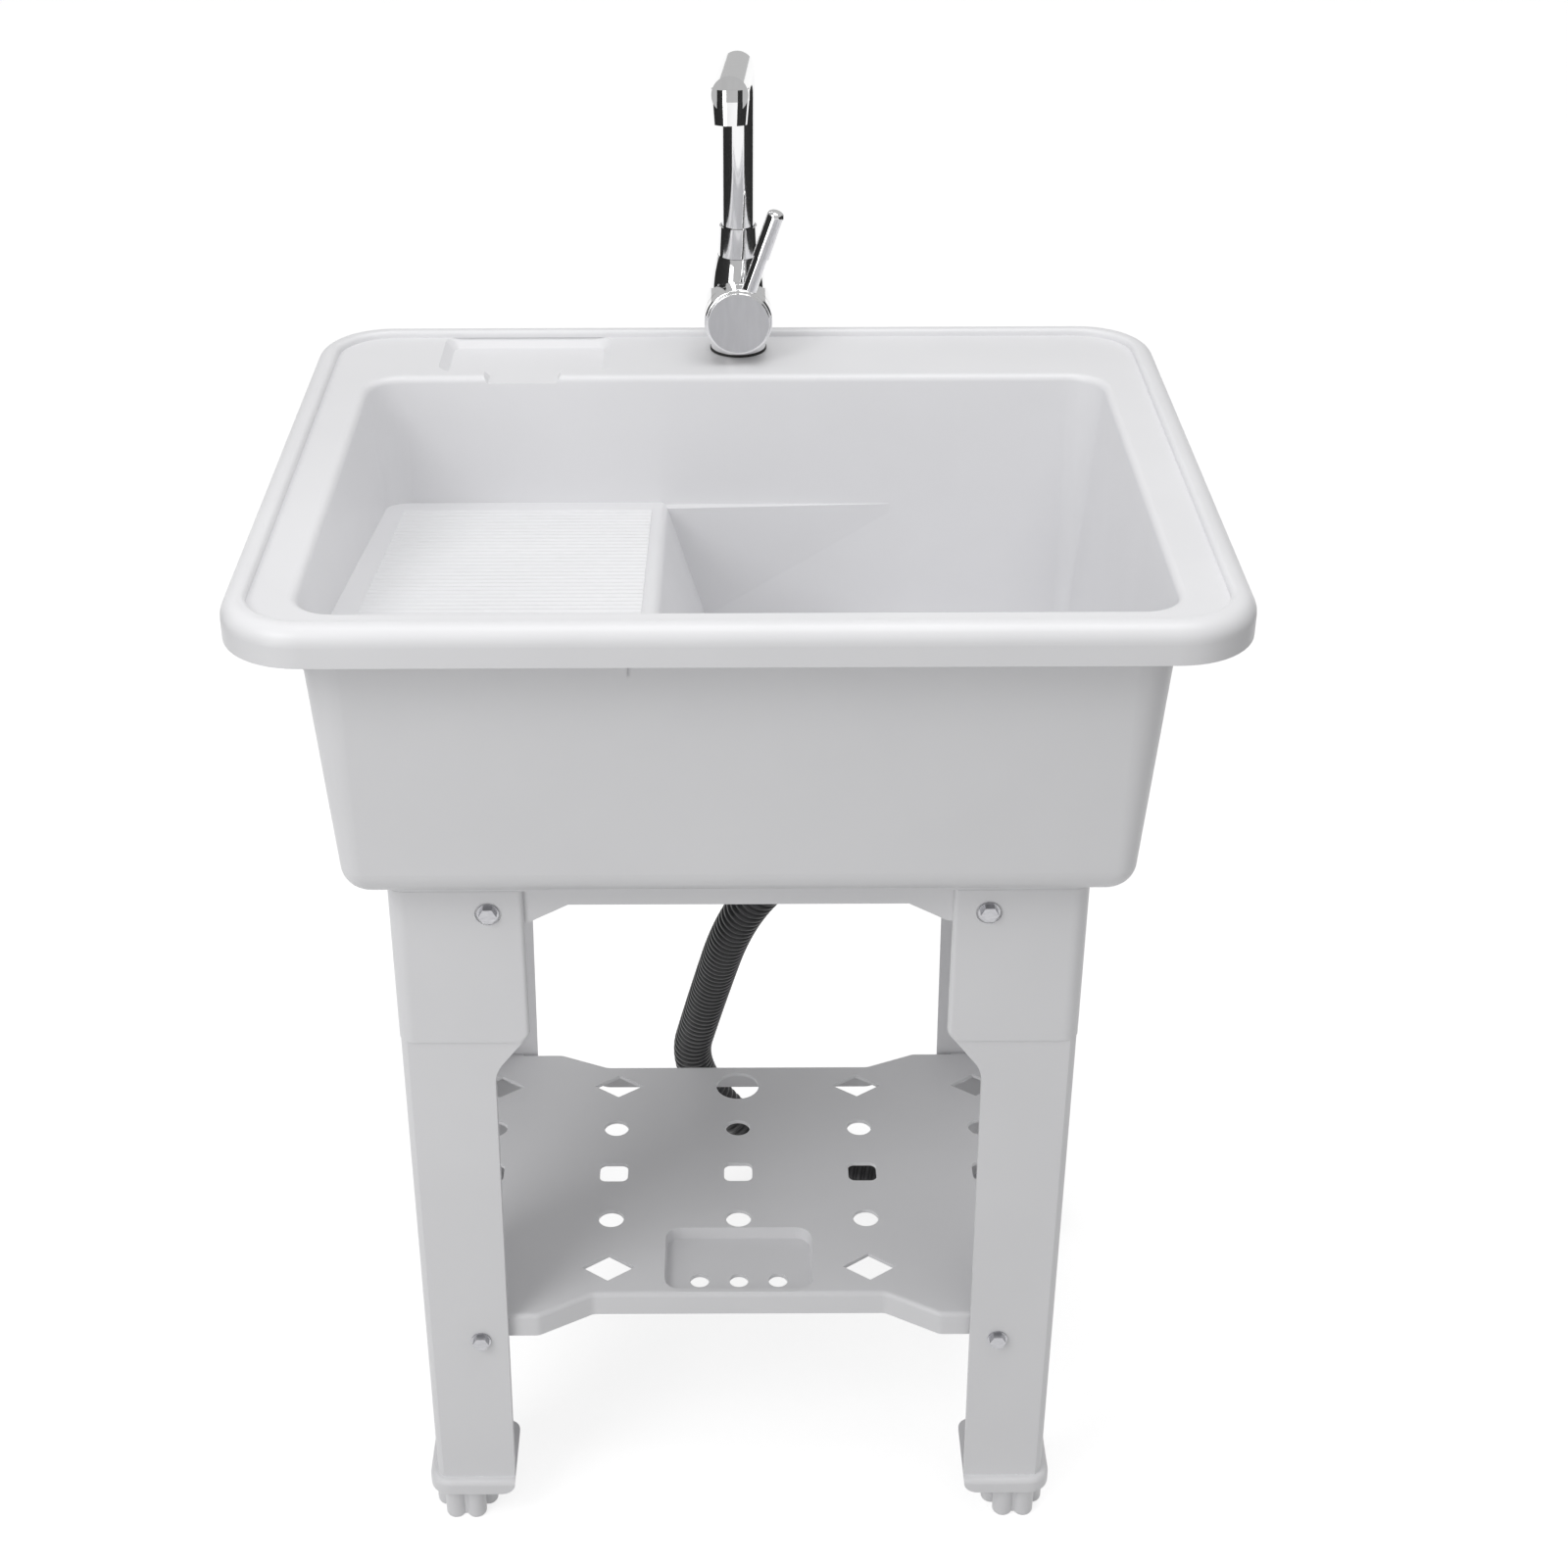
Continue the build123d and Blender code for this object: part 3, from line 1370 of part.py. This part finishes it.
with BuildPart() as cartridge_body:
    with BuildSketch(handle_face.offset(cartridge_rear)):
        Circle(cartridge_radius)
    extrude(amount=cartridge_front - cartridge_rear)
    with BuildSketch(handle_face.offset(cartridge_floor)):
        Circle(turret_radius + turret_gap)
    extrude(amount=cartridge_front, mode=Mode.SUBTRACT)
cartridge_body.part.label = "cartridge_body"
export_step(cartridge_body.part, "parts/cartridge_body.step")

with BuildPart() as cartridge_nut:
    with BuildSketch(handle_face.offset(cartridge_front)):
        Circle(cartridge_radius)
        Circle(turret_radius + turret_gap, mode=Mode.SUBTRACT)
    extrude(amount=cartridge_nut_front - cartridge_front)
    with BuildSketch(handle_face.offset((cartridge_front + cartridge_nut_front) / 2)):
        with PolarLocations(cartridge_radius, 4):
            Rectangle(3, 4)
    extrude(amount=cartridge_nut_front, mode=Mode.SUBTRACT)
cartridge_nut.part.label = "cartridge_nut"
export_step(cartridge_nut.part, "parts/cartridge_nut.step")

with BuildPart() as cartridge_turret:
    with BuildSketch(handle_face.offset(turret_rear)):
        Circle(turret_radius)
        Rectangle(slot_width, slot_length, mode=Mode.SUBTRACT)
    extrude(amount=turret_front - turret_rear)
    with BuildSketch(tilt_face):
        with Locations((0, pivot_a)):
            Circle(pin_radius)
    extrude(amount=hub_radius, both=True, mode=Mode.SUBTRACT)
cartridge_turret.part.label = "cartridge_turret"
export_step(cartridge_turret.part, "parts/cartridge_turret.step")

with BuildPart() as stem_pin:
    with BuildSketch(tilt_face):
        with Locations((0, pivot_a)):
            Circle(pin_radius)
    extrude(amount=pin_length / 2, both=True)
stem_pin.part.label = "stem_pin"
export_step(stem_pin.part, "parts/stem_pin.step")

with BuildPart() as cartridge_stem:
    with BuildSketch(handle_face.offset(stem_rear)):
        Rectangle(stem_side, stem_side)
    extrude(amount=stem_front - stem_rear)
    with BuildSketch(tilt_face):
        with Locations((0, pivot_a)):
            Circle(pin_radius + pin_gap)
    extrude(amount=hub_radius, both=True, mode=Mode.SUBTRACT)
    with BuildSketch(handle_face.offset(stem_front)):
        Circle(handle_screw_radius + thread_gap)
    extrude(amount=-handle_screw_length, mode=Mode.SUBTRACT)
cartridge_stem.part.label = "cartridge_stem"
export_step(cartridge_stem.part, "parts/cartridge_stem.step")

with BuildPart() as handle_hub:
    with BuildSketch(handle_face.offset(hub_rear)):
        Circle(hub_radius)
    extrude(amount=hub_front - hub_rear)
    fillet(handle_hub.faces().sort_by(Axis.Y)[0].edges(), hub_round)
    with BuildSketch(handle_face.offset(hub_rear)):
        Circle(hub_cavity_radius)
    extrude(amount=hub_cavity_front - hub_rear, mode=Mode.SUBTRACT)
    # the lower half slants away so that the handle can tip forward
    with BuildSketch(tilt_face):
        with BuildLine():
            Polyline(
                (hub_slant_rise, hub_rear - hub_radius),
                (hub_slant_rise, hub_slant_start - hub_slant_drop),
                (-2 * hub_radius, hub_slant_start + 2 * hub_radius * tan(radians(tilt_range))),
                (-2 * hub_radius, hub_rear - hub_radius),
                close=True,
            )
        make_face()
    extrude(amount=2 * hub_radius, both=True, mode=Mode.SUBTRACT)
    with BuildSketch(handle_face.offset(hub_cavity_front)):
        Rectangle(stem_side, stem_side)
    extrude(amount=stem_front - hub_cavity_front, mode=Mode.SUBTRACT)
    with BuildSketch(handle_face.offset(hub_cavity_front)):
        Circle(handle_screw_radius + thread_gap)
    extrude(amount=hub_radius, mode=Mode.SUBTRACT)
    with BuildSketch(handle_face.offset(hub_front - handle_screw_head)):
        Circle(handle_screw_head_radius)
    extrude(amount=hub_radius, mode=Mode.SUBTRACT)
    with BuildSketch(lever_face.offset(hub_cavity_radius - 2)):
        Circle(rod_radius)
    extrude(amount=hub_radius, mode=Mode.SUBTRACT)
print("hub", handle_hub.part.is_valid, len(handle_hub.solids()))
handle_hub.part.label = "handle_hub"
export_step(handle_hub.part, "parts/handle_hub.step")

with BuildPart() as handle_screw:
    with BuildSketch(handle_face.offset(hub_front - handle_screw_head)):
        Circle(handle_screw_head_radius)
        RegularPolygon(handle_screw_radius * 0.8, 6, mode=Mode.SUBTRACT)
    extrude(amount=handle_screw_head)
    with BuildSketch(handle_face.offset(hub_front - handle_screw_head)):
        Circle(handle_screw_radius)
    extrude(amount=-handle_screw_length)
handle_screw.part.label = "handle_screw"
export_step(handle_screw.part, "parts/handle_screw.step")

with BuildPart() as handle_cap:
    with BuildSketch(handle_face.offset(hub_front)):
        Circle(cap_radius)
    extrude(amount=cap_thickness)
    fillet(handle_cap.faces().sort_by(Axis.Y)[0].edges(), cap_round)
handle_cap.part.label = "handle_cap"
export_step(handle_cap.part, "parts/handle_cap.step")

with BuildPart() as lever_rod:
    with BuildSketch(lever_face.offset(rod_inner)):
        Circle(rod_radius)
    extrude(amount=rod_outer - rod_inner)
lever_rod.part.label = "lever_rod"
export_step(lever_rod.part, "parts/lever_rod.step")

with BuildPart() as lever_grip:
    with BuildSketch(lever_face.offset(grip_inner)):
        Circle(grip_radius)
    extrude(amount=grip_outer - grip_inner)
    fillet(lever_grip.faces().sort_by(Axis.Z)[-1].edges(), grip_round)
    with BuildSketch(lever_face.offset(grip_inner)):
        Circle(rod_radius)
    extrude(amount=rod_outer - grip_inner, mode=Mode.SUBTRACT)
lever_grip.part.label = "lever_grip"
export_step(lever_grip.part, "parts/lever_grip.step")


# ================================================================ spout
turn = radians(spout_turn)
rise = radians(spout_rise)
spout_dir = Vector(-sin(turn) * cos(rise), -cos(turn) * cos(rise), sin(rise))
nozzle_dir = Vector(-sin(turn) * sin(rise), -cos(turn) * sin(rise), -cos(rise))
spout_foot = Vector(tap_x, tap_y, deck_z + spout_foot_z)
spout_corner = Vector(tap_x, tap_y, deck_z + spout_elbow_z)
spout_end = spout_corner + spout_dir * (spout_reach / cos(rise))
nozzle_face = Plane(origin=spout_end - spout_dir * nozzle_setback, z_dir=nozzle_dir)

with BuildLine() as spout_route:
    FilletPolyline(spout_foot, spout_corner, spout_end, radius=spout_elbow_round)
spout_path = spout_route.wires()[0]

with BuildPart() as spout_tube:
    with BuildSketch(Plane(origin=spout_foot, z_dir=(0, 0, 1))):
        Circle(spout_radius)
    sweep(path=spout_path)
    with BuildSketch(nozzle_face.offset(-nozzle_top)):
        Circle(nozzle_radius)
    extrude(amount=nozzle_top - nozzle_bottom)
    with BuildSketch(Plane(origin=spout_foot, z_dir=(0, 0, 1))):
        Circle(spout_bore)
    sweep(path=spout_path, mode=Mode.SUBTRACT)
    with BuildSketch(Plane(origin=spout_end, z_dir=-spout_dir)):
        Circle(spout_radius)
    extrude(amount=spout_end_wall)
    with BuildSketch(nozzle_face.offset(-nozzle_top / 3)):
        Circle(nozzle_bore)
    extrude(amount=spout_radius, mode=Mode.SUBTRACT)
    with BuildSketch(nozzle_face.offset(-nozzle_bottom)):
        Circle(nozzle_radius + thread_gap)
    extrude(amount=2 * spout_radius, mode=Mode.SUBTRACT)
    # grooves for the seals and the bearing ring
    with Locations(
        (tap_x, tap_y, deck_z + oring_lower_z),
        (tap_x, tap_y, deck_z + oring_upper_z),
        (tap_x, tap_y, deck_z + bearing_z),
    ):
        Cylinder(
            spout_radius * 2,
            bearing_height,
            align=(Align.CENTER, Align.CENTER, Align.MIN),
            mode=Mode.SUBTRACT,
        )
        Cylinder(
            spout_radius - oring_groove,
            bearing_height,
            align=(Align.CENTER, Align.CENTER, Align.MIN),
        )
        Cylinder(spout_bore, 2 * bearing_height, mode=Mode.SUBTRACT)
print("spout", spout_tube.part.is_valid, len(spout_tube.solids()), spout_tube.part.bounding_box())
spout_tube.part.label = "spout_tube"
export_step(spout_tube.part, "parts/spout_tube.step")

with BuildPart() as spout_orings:
    with Locations(
        (tap_x, tap_y, deck_z + oring_lower_z), (tap_x, tap_y, deck_z + oring_upper_z)
    ):
        Cylinder(spout_radius, bearing_height, align=(Align.CENTER, Align.CENTER, Align.MIN))
        Cylinder(spout_radius - oring_groove, 3 * bearing_height, mode=Mode.SUBTRACT)
spout_orings.part.label = "spout_orings"
export_step(spout_orings.part, "parts/spout_orings.step")

with BuildPart() as spout_bearing:
    with Locations((tap_x, tap_y, deck_z + bearing_z)):
        Cylinder(bearing_radius, bearing_height, align=(Align.CENTER, Align.CENTER, Align.MIN))
        Cylinder(spout_radius - oring_groove, 3 * bearing_height, mode=Mode.SUBTRACT)
    with Locations((tap_x, tap_y + bearing_radius, deck_z + bearing_z)):
        Box(bearing_split, bearing_radius, 3 * bearing_height, mode=Mode.SUBTRACT)
spout_bearing.part.label = "spout_bearing"
export_step(spout_bearing.part, "parts/spout_bearing.step")

with BuildPart() as spout_nut:
    with BuildSketch(Plane(origin=(tap_x, tap_y, deck_z), x_dir=(1, 0, 0), z_dir=(0, -1, 0))):
        with BuildLine():
            Polyline(
                (tap_neck_radius + thread_gap, tap_top_z + seat_gap),
                (spout_nut_radius, tap_top_z + seat_gap),
                (spout_nut_top_radius, spout_nut_top_z),
                (spout_radius + spout_nut_gap, spout_nut_top_z),
                (spout_radius + spout_nut_gap, nut_cavity_z),
                (tap_neck_radius + thread_gap, nut_cavity_z),
                close=True,
            )
        make_face()
    revolve(axis=tap_upright)
spout_nut.part.label = "spout_nut"
export_step(spout_nut.part, "parts/spout_nut.step")

aerator_length = -aerator_bottom + nozzle_bottom
aerator_taper = degrees(atan2(aerator_top_radius - aerator_bottom_radius, aerator_length))
with BuildPart() as aerator_housing:
    with BuildSketch(nozzle_face.offset(-nozzle_bottom)):
        Circle(aerator_top_radius)
    extrude(amount=aerator_length, taper=aerator_taper)
    with BuildSketch(nozzle_face):
        Circle(nozzle_bore - thread_gap)
    extrude(amount=-nozzle_bottom)
    with BuildSketch(nozzle_face):
        Circle(aerator_bore)
    extrude(amount=-aerator_bottom, mode=Mode.SUBTRACT)
print("aerator", aerator_housing.part.is_valid, len(aerator_housing.solids()))
aerator_housing.part.label = "aerator_housing"
export_step(aerator_housing.part, "parts/aerator_housing.step")

with BuildPart() as aerator_insert:
    with BuildSketch(nozzle_face.offset(-aerator_bottom - 2 * aerator_lip)):
        Circle(aerator_bore)
        with PolarLocations(aerator_hole_circle, 6):
            Circle(aerator_hole_radius, mode=Mode.SUBTRACT)
        Circle(aerator_hole_radius, mode=Mode.SUBTRACT)
    extrude(amount=aerator_lip)
aerator_insert.part.label = "aerator_insert"
export_step(aerator_insert.part, "parts/aerator_insert.step")
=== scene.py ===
import json
from math import cos, pi, radians, sin

import bmesh
import bpy
from mathutils import Matrix, Vector


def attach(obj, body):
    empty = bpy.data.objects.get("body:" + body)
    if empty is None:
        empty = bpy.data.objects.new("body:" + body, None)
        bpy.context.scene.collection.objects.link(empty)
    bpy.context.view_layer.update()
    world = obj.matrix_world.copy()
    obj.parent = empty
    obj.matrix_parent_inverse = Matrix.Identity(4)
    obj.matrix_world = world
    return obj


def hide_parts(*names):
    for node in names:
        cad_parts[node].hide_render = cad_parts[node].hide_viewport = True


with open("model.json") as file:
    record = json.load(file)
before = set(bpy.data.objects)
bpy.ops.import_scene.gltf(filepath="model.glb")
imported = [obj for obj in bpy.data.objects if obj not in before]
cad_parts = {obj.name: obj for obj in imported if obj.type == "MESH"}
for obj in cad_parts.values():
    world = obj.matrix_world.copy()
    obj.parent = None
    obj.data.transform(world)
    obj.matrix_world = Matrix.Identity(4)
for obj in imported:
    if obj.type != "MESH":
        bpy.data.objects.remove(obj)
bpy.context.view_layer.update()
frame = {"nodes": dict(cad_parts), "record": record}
nodes = frame["nodes"]

# ---------------------------------------------------------------- camera
image_size = 1600
sensor_width = 36
focal_pixels = 2518
centre_column = 745
camera_pitch = radians(30.3)
camera_roll = radians(0.209)
camera_place = Vector((-0.0051, -1.487, 1.4027))

camera_data = bpy.data.cameras.new("camera")
camera_data.sensor_width = sensor_width
camera_data.lens = focal_pixels / image_size * sensor_width
camera_data.shift_x = (image_size / 2 - centre_column) / image_size
camera = bpy.data.objects.new("camera", camera_data)
bpy.context.scene.collection.objects.link(camera)
camera.matrix_world = (
    Matrix.Translation(camera_place)
    @ Matrix.Rotation(pi / 2 - camera_pitch, 4, "X")
    @ Matrix.Rotation(-camera_roll, 4, "Z")
)
bpy.context.scene.camera = camera
bpy.context.scene.view_settings.view_transform = "Standard"


# ---------------------------------------------------------------- small helpers
def link(obj, body):
    bpy.context.scene.collection.objects.link(obj)
    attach(obj, body)
    return obj


class Shader:
    """A principled material whose nodes are added one by one."""

    def __init__(self, name, colour, roughness, metallic=0.0):
        self.material = bpy.data.materials.new(name)
        self.material.use_nodes = True
        self.tree = self.material.node_tree
        self.surface = self.tree.nodes["Principled BSDF"]
        self.surface.inputs["Base Color"].default_value = (*colour, 1)
        self.surface.inputs["Roughness"].default_value = roughness
        self.surface.inputs["Metallic"].default_value = metallic
        self.place = self.node("ShaderNodeTexCoord").outputs["Object"]

    def node(self, kind, **settings):
        made = self.tree.nodes.new(kind)
        for key, value in settings.items():
            setattr(made, key, value)
        return made

    def join(self, source, target):
        self.tree.links.new(source, target)

    def noise(self, scale, detail=3.0, stretch=None):
        made = self.node("ShaderNodeTexNoise")
        made.inputs["Scale"].default_value = scale
        made.inputs["Detail"].default_value = detail
        place = self.place
        if stretch:
            mapping = self.node("ShaderNodeMapping")
            mapping.inputs["Scale"].default_value = stretch
            self.join(place, mapping.inputs["Vector"])
            place = mapping.outputs["Vector"]
        self.join(place, made.inputs["Vector"])
        return made.outputs["Fac"]

    def ramp(self, source, low, high, start=0.3, end=0.7):
        made = self.node("ShaderNodeValToRGB")
        made.color_ramp.elements[0].position = start
        made.color_ramp.elements[1].position = end
        made.color_ramp.elements[0].color = (*low, 1)
        made.color_ramp.elements[1].color = (*high, 1)
        self.join(source, made.inputs["Fac"])
        return made.outputs["Color"]

    def span(self, source, low, high):
        made = self.node("ShaderNodeMapRange")
        made.inputs["To Min"].default_value = low
        made.inputs["To Max"].default_value = high
        self.join(source, made.inputs["Value"])
        return made.outputs["Result"]

    def bump(self, source, strength, distance):
        made = self.node("ShaderNodeBump")
        made.inputs["Strength"].default_value = strength
        made.inputs["Distance"].default_value = distance
        self.join(source, made.inputs["Height"])
        if self.surface.inputs["Normal"].links:
            before = self.surface.inputs["Normal"].links[0].from_socket
            self.join(before, made.inputs["Normal"])
        self.join(made.outputs["Normal"], self.surface.inputs["Normal"])


def moulded(name, low, high, roughness, grain):
    """Moulded plastic: faint cloudiness, a fine moulded grain and patches of lower gloss."""
    made = Shader(name, high, roughness)
    made.join(made.ramp(made.noise(7), low, high), made.surface.inputs["Base Color"])
    made.join(
        made.span(made.noise(24, 5), roughness - 0.05, roughness + 0.07),
        made.surface.inputs["Roughness"],
    )
    made.bump(made.noise(900, 2), grain, 0.0002)
    made.bump(made.noise(11, 2), 0.25, 0.0015)
    return made.material


def metal(name, low, high, roughness, stretch):
    """Metal with fine marks drawn out along one way."""
    made = Shader(name, high, roughness, 1.0)
    marks = made.noise(260, 4, stretch)
    made.join(made.ramp(marks, low, high), made.surface.inputs["Base Color"])
    made.join(
        made.span(made.noise(60, 4, stretch), roughness * 0.7, roughness * 1.3),
        made.surface.inputs["Roughness"],
    )
    made.bump(marks, 0.04, 0.0002)
    return made.material


# ---------------------------------------------------------------- materials
white_plastic = moulded(
    "white_plastic", (0.80, 0.80, 0.815), (0.83, 0.83, 0.845), 0.34, 0.06
)
grey_plastic = moulded("grey_plastic", (0.20, 0.20, 0.205), (0.25, 0.25, 0.255), 0.45, 0.15)
hose_plastic = moulded("hose_plastic", (0.035, 0.035, 0.037), (0.05, 0.05, 0.052), 0.32, 0.1)
rubber = moulded("rubber", (0.012, 0.012, 0.012), (0.02, 0.02, 0.02), 0.6, 0.2)
chrome = metal("chrome", (0.88, 0.88, 0.885), (0.94, 0.94, 0.945), 0.06, (1, 1, 0.2))
steel = metal("steel", (0.42, 0.42, 0.44), (0.56, 0.56, 0.58), 0.3, (1, 1, 8))
brass = metal("brass", (0.62, 0.47, 0.22), (0.72, 0.56, 0.29), 0.28, (1, 1, 6))

finishes = {
    "white_plastic": white_plastic,
    "grey_plastic": grey_plastic,
    "hose_plastic": hose_plastic,
    "rubber": rubber,
    "chrome": chrome,
    "steel": steel,
    "brass": brass,
}
for part in frame["record"]["subparts"]:
    mesh = nodes[part["node"]].data
    mesh.materials.clear()
    mesh.materials.append(finishes[part["material_slot"]])

# ---------------------------------------------------------------- drain hose
hose_points = [
    (0.045, 0.080, 0.4985),
    (0.045, 0.080, 0.422),
    (0.0, 0.107, 0.357),
    (-0.026, 0.189, 0.215),
    (-0.046, 0.2335, 0.111),
    (0.036, 0.2335, 0.0163),
    (0.150, 0.194, 0.0163),
    (0.255, 0.172, 0.0184),
]
hose_outer = 0.016
hose_valley = 0.0138
hose_wall = 0.0022
hose_plain = 0.014
rib_pitch = 0.0066
ring_sides = 48

route_data = bpy.data.curves.new("hose_route", "CURVE")
route_data.dimensions = "3D"
route_data.resolution_u = 64
route_spline = route_data.splines.new("NURBS")
route_spline.points.add(len(hose_points) - 1)
for point, place in zip(route_spline.points, hose_points):
    point.co = (*place, 1)
route_spline.order_u = 3
route_spline.use_endpoint_u = True
route = bpy.data.objects.new("hose_route", route_data)
route_mesh = bpy.data.meshes.new_from_object(route)
route_line = [v.co.copy() for v in route_mesh.vertices]
bpy.data.objects.remove(route)

travel = [0.0]
for before, after in zip(route_line, route_line[1:]):
    travel.append(travel[-1] + (after - before).length)
hose_length = travel[-1]


def on_route(along):
    """The point and the heading of the hose's line, that far from its top end."""
    along = min(max(along, 0.0), hose_length)
    step = next(i for i in range(1, len(travel)) if travel[i] >= along or i == len(travel) - 1)
    run = route_line[step] - route_line[step - 1]
    share = (along - travel[step - 1]) / (travel[step] - travel[step - 1])
    return route_line[step - 1] + run * share, run.normalized()


# a rib's outline from one valley to the next: share of the pitch, share of the rise
rib_count = int((hose_length - 2 * hose_plain) / rib_pitch)
rib_step = (hose_length - 2 * hose_plain) / rib_count
rib_outline = [
    (0.0, 0.0),
    (0.14, 0.04),
    (0.22, 0.5),
    (0.30, 0.93),
    (0.42, 1.0),
    (0.58, 1.0),
    (0.70, 0.93),
    (0.78, 0.5),
    (0.86, 0.04),
]

end_share = 0.9
stations = [
    (0.0, hose_outer - hose_wall),
    (0.0, hose_outer),
    (hose_plain * end_share, hose_outer),
]
for rib in range(rib_count):
    for share, rise in rib_outline:
        along = hose_plain + (rib + share) * rib_step
        stations.append((along, hose_valley + rise * (hose_outer - hose_valley)))
stations.append((hose_length - hose_plain * end_share, hose_outer))
stations.append((hose_length, hose_outer))
stations.append((hose_length, hose_outer - hose_wall))

hose_mesh = bpy.data.meshes.new("drain_hose_ribbed")
hose_form = bmesh.new()
steady = Vector((0.3, 1, 0))
rings = []
for along, radius in stations:
    middle, heading = on_route(along)
    side = steady.cross(heading).normalized()
    over = heading.cross(side)
    ring = []
    for k in range(ring_sides):
        angle = 2 * pi * k / ring_sides
        spoke = side * cos(angle) + over * sin(angle)
        ring.append(hose_form.verts.new(middle + radius * spoke))
    rings.append(ring)
for first, second in zip(rings, rings[1:]):
    for k in range(ring_sides):
        face = hose_form.faces.new(
            (first[k], first[(k + 1) % ring_sides], second[(k + 1) % ring_sides], second[k])
        )
        face.smooth = True
hose_form.to_mesh(hose_mesh)
hose_form.free()
hose_mesh.materials.append(hose_plastic)
hose = link(bpy.data.objects.new("drain_hose_ribbed", hose_mesh), "sink")
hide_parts("drain_hose")

# ---------------------------------------------------------------- floor, lamps and surroundings
floor_half = 8.0
floor_glow = 0.74
world_fill = 0.5
floor_mesh = bpy.data.meshes.new("floor")
floor_form = bmesh.new()
bmesh.ops.create_grid(floor_form, x_segments=1, y_segments=1, size=floor_half)
floor_form.to_mesh(floor_mesh)
floor_form.free()
floor = bpy.data.objects.new("floor", floor_mesh)
bpy.context.scene.collection.objects.link(floor)

floor_look = Shader("floor", (0.5, 0.5, 0.5), 0.7)
floor_look.surface.inputs["Specular IOR Level"].default_value = 0.1
glow = floor_look.node("ShaderNodeEmission")
rays = floor_look.node("ShaderNodeLightPath")
seen = floor_look.node("ShaderNodeMath", operation="MAXIMUM")
seen_more = floor_look.node("ShaderNodeMath", operation="MAXIMUM")
lift = floor_look.node("ShaderNodeMath", operation="MULTIPLY")
lift.inputs[1].default_value = floor_glow
both = floor_look.node("ShaderNodeAddShader")
floor_look.join(rays.outputs["Is Camera Ray"], seen.inputs[0])
floor_look.join(rays.outputs["Is Glossy Ray"], seen.inputs[1])
floor_look.join(seen.outputs[0], seen_more.inputs[0])
floor_look.join(rays.outputs["Is Transmission Ray"], seen_more.inputs[1])
floor_look.join(seen_more.outputs[0], lift.inputs[0])
floor_look.join(lift.outputs[0], glow.inputs["Strength"])
floor_look.join(floor_look.surface.outputs[0], both.inputs[0])
floor_look.join(glow.outputs[0], both.inputs[1])
floor_look.join(both.outputs[0], floor_look.tree.nodes["Material Output"].inputs["Surface"])
floor_mesh.materials.append(floor_look.material)

world = bpy.data.worlds.new("studio")
bpy.context.scene.world = world
world.use_nodes = True
world.node_tree.nodes["Background"].inputs["Color"].default_value = (1, 1, 1, 1)
world.node_tree.nodes["Background"].inputs["Strength"].default_value = world_fill


def softbox(name, place, target, size, power):
    lamp = bpy.data.lights.new(name, "AREA")
    lamp.shape = "RECTANGLE"
    lamp.size = size[0]
    lamp.size_y = size[1]
    lamp.energy = power
    holder = bpy.data.objects.new(name, lamp)
    bpy.context.scene.collection.objects.link(holder)
    holder.location = place
    holder.rotation_euler = (Vector(target) - Vector(place)).to_track_quat("-Z", "Y").to_euler()
    return holder


softbox("key", (-1.2, -1.3, 2.1), (0, 0, 0.6), (0.9, 0.9), 11)
softbox("front", (-1.6, -2.0, 0.95), (0, 0, 0.5), (1.2, 1.2), 9)
softbox("top", (0.2, -0.2, 2.4), (0, 0, 0.6), (1.2, 1.2), 12)

# dark cards beside the set, seen only in reflections, give the chrome its dark bands
card_x = 1.45
card_front = -1.4
card_back = 1.3
card_height = 1.5
card_corners = [
    (card_front, 0.0),
    (card_back, 0.0),
    (card_back, card_height),
    (card_front, card_height),
]
card_look = Shader("card", (0.02, 0.02, 0.02), 0.8)
for hand in (-1, 1):
    card_mesh = bpy.data.meshes.new("card")
    card_form = bmesh.new()
    card_form.faces.new([card_form.verts.new((hand * card_x, y, z)) for y, z in card_corners])
    card_form.to_mesh(card_mesh)
    card_form.free()
    card_mesh.materials.append(card_look.material)
    card = bpy.data.objects.new("card", card_mesh)
    card.visible_camera = False
    card.visible_diffuse = False
    card.visible_shadow = False
    bpy.context.scene.collection.objects.link(card)
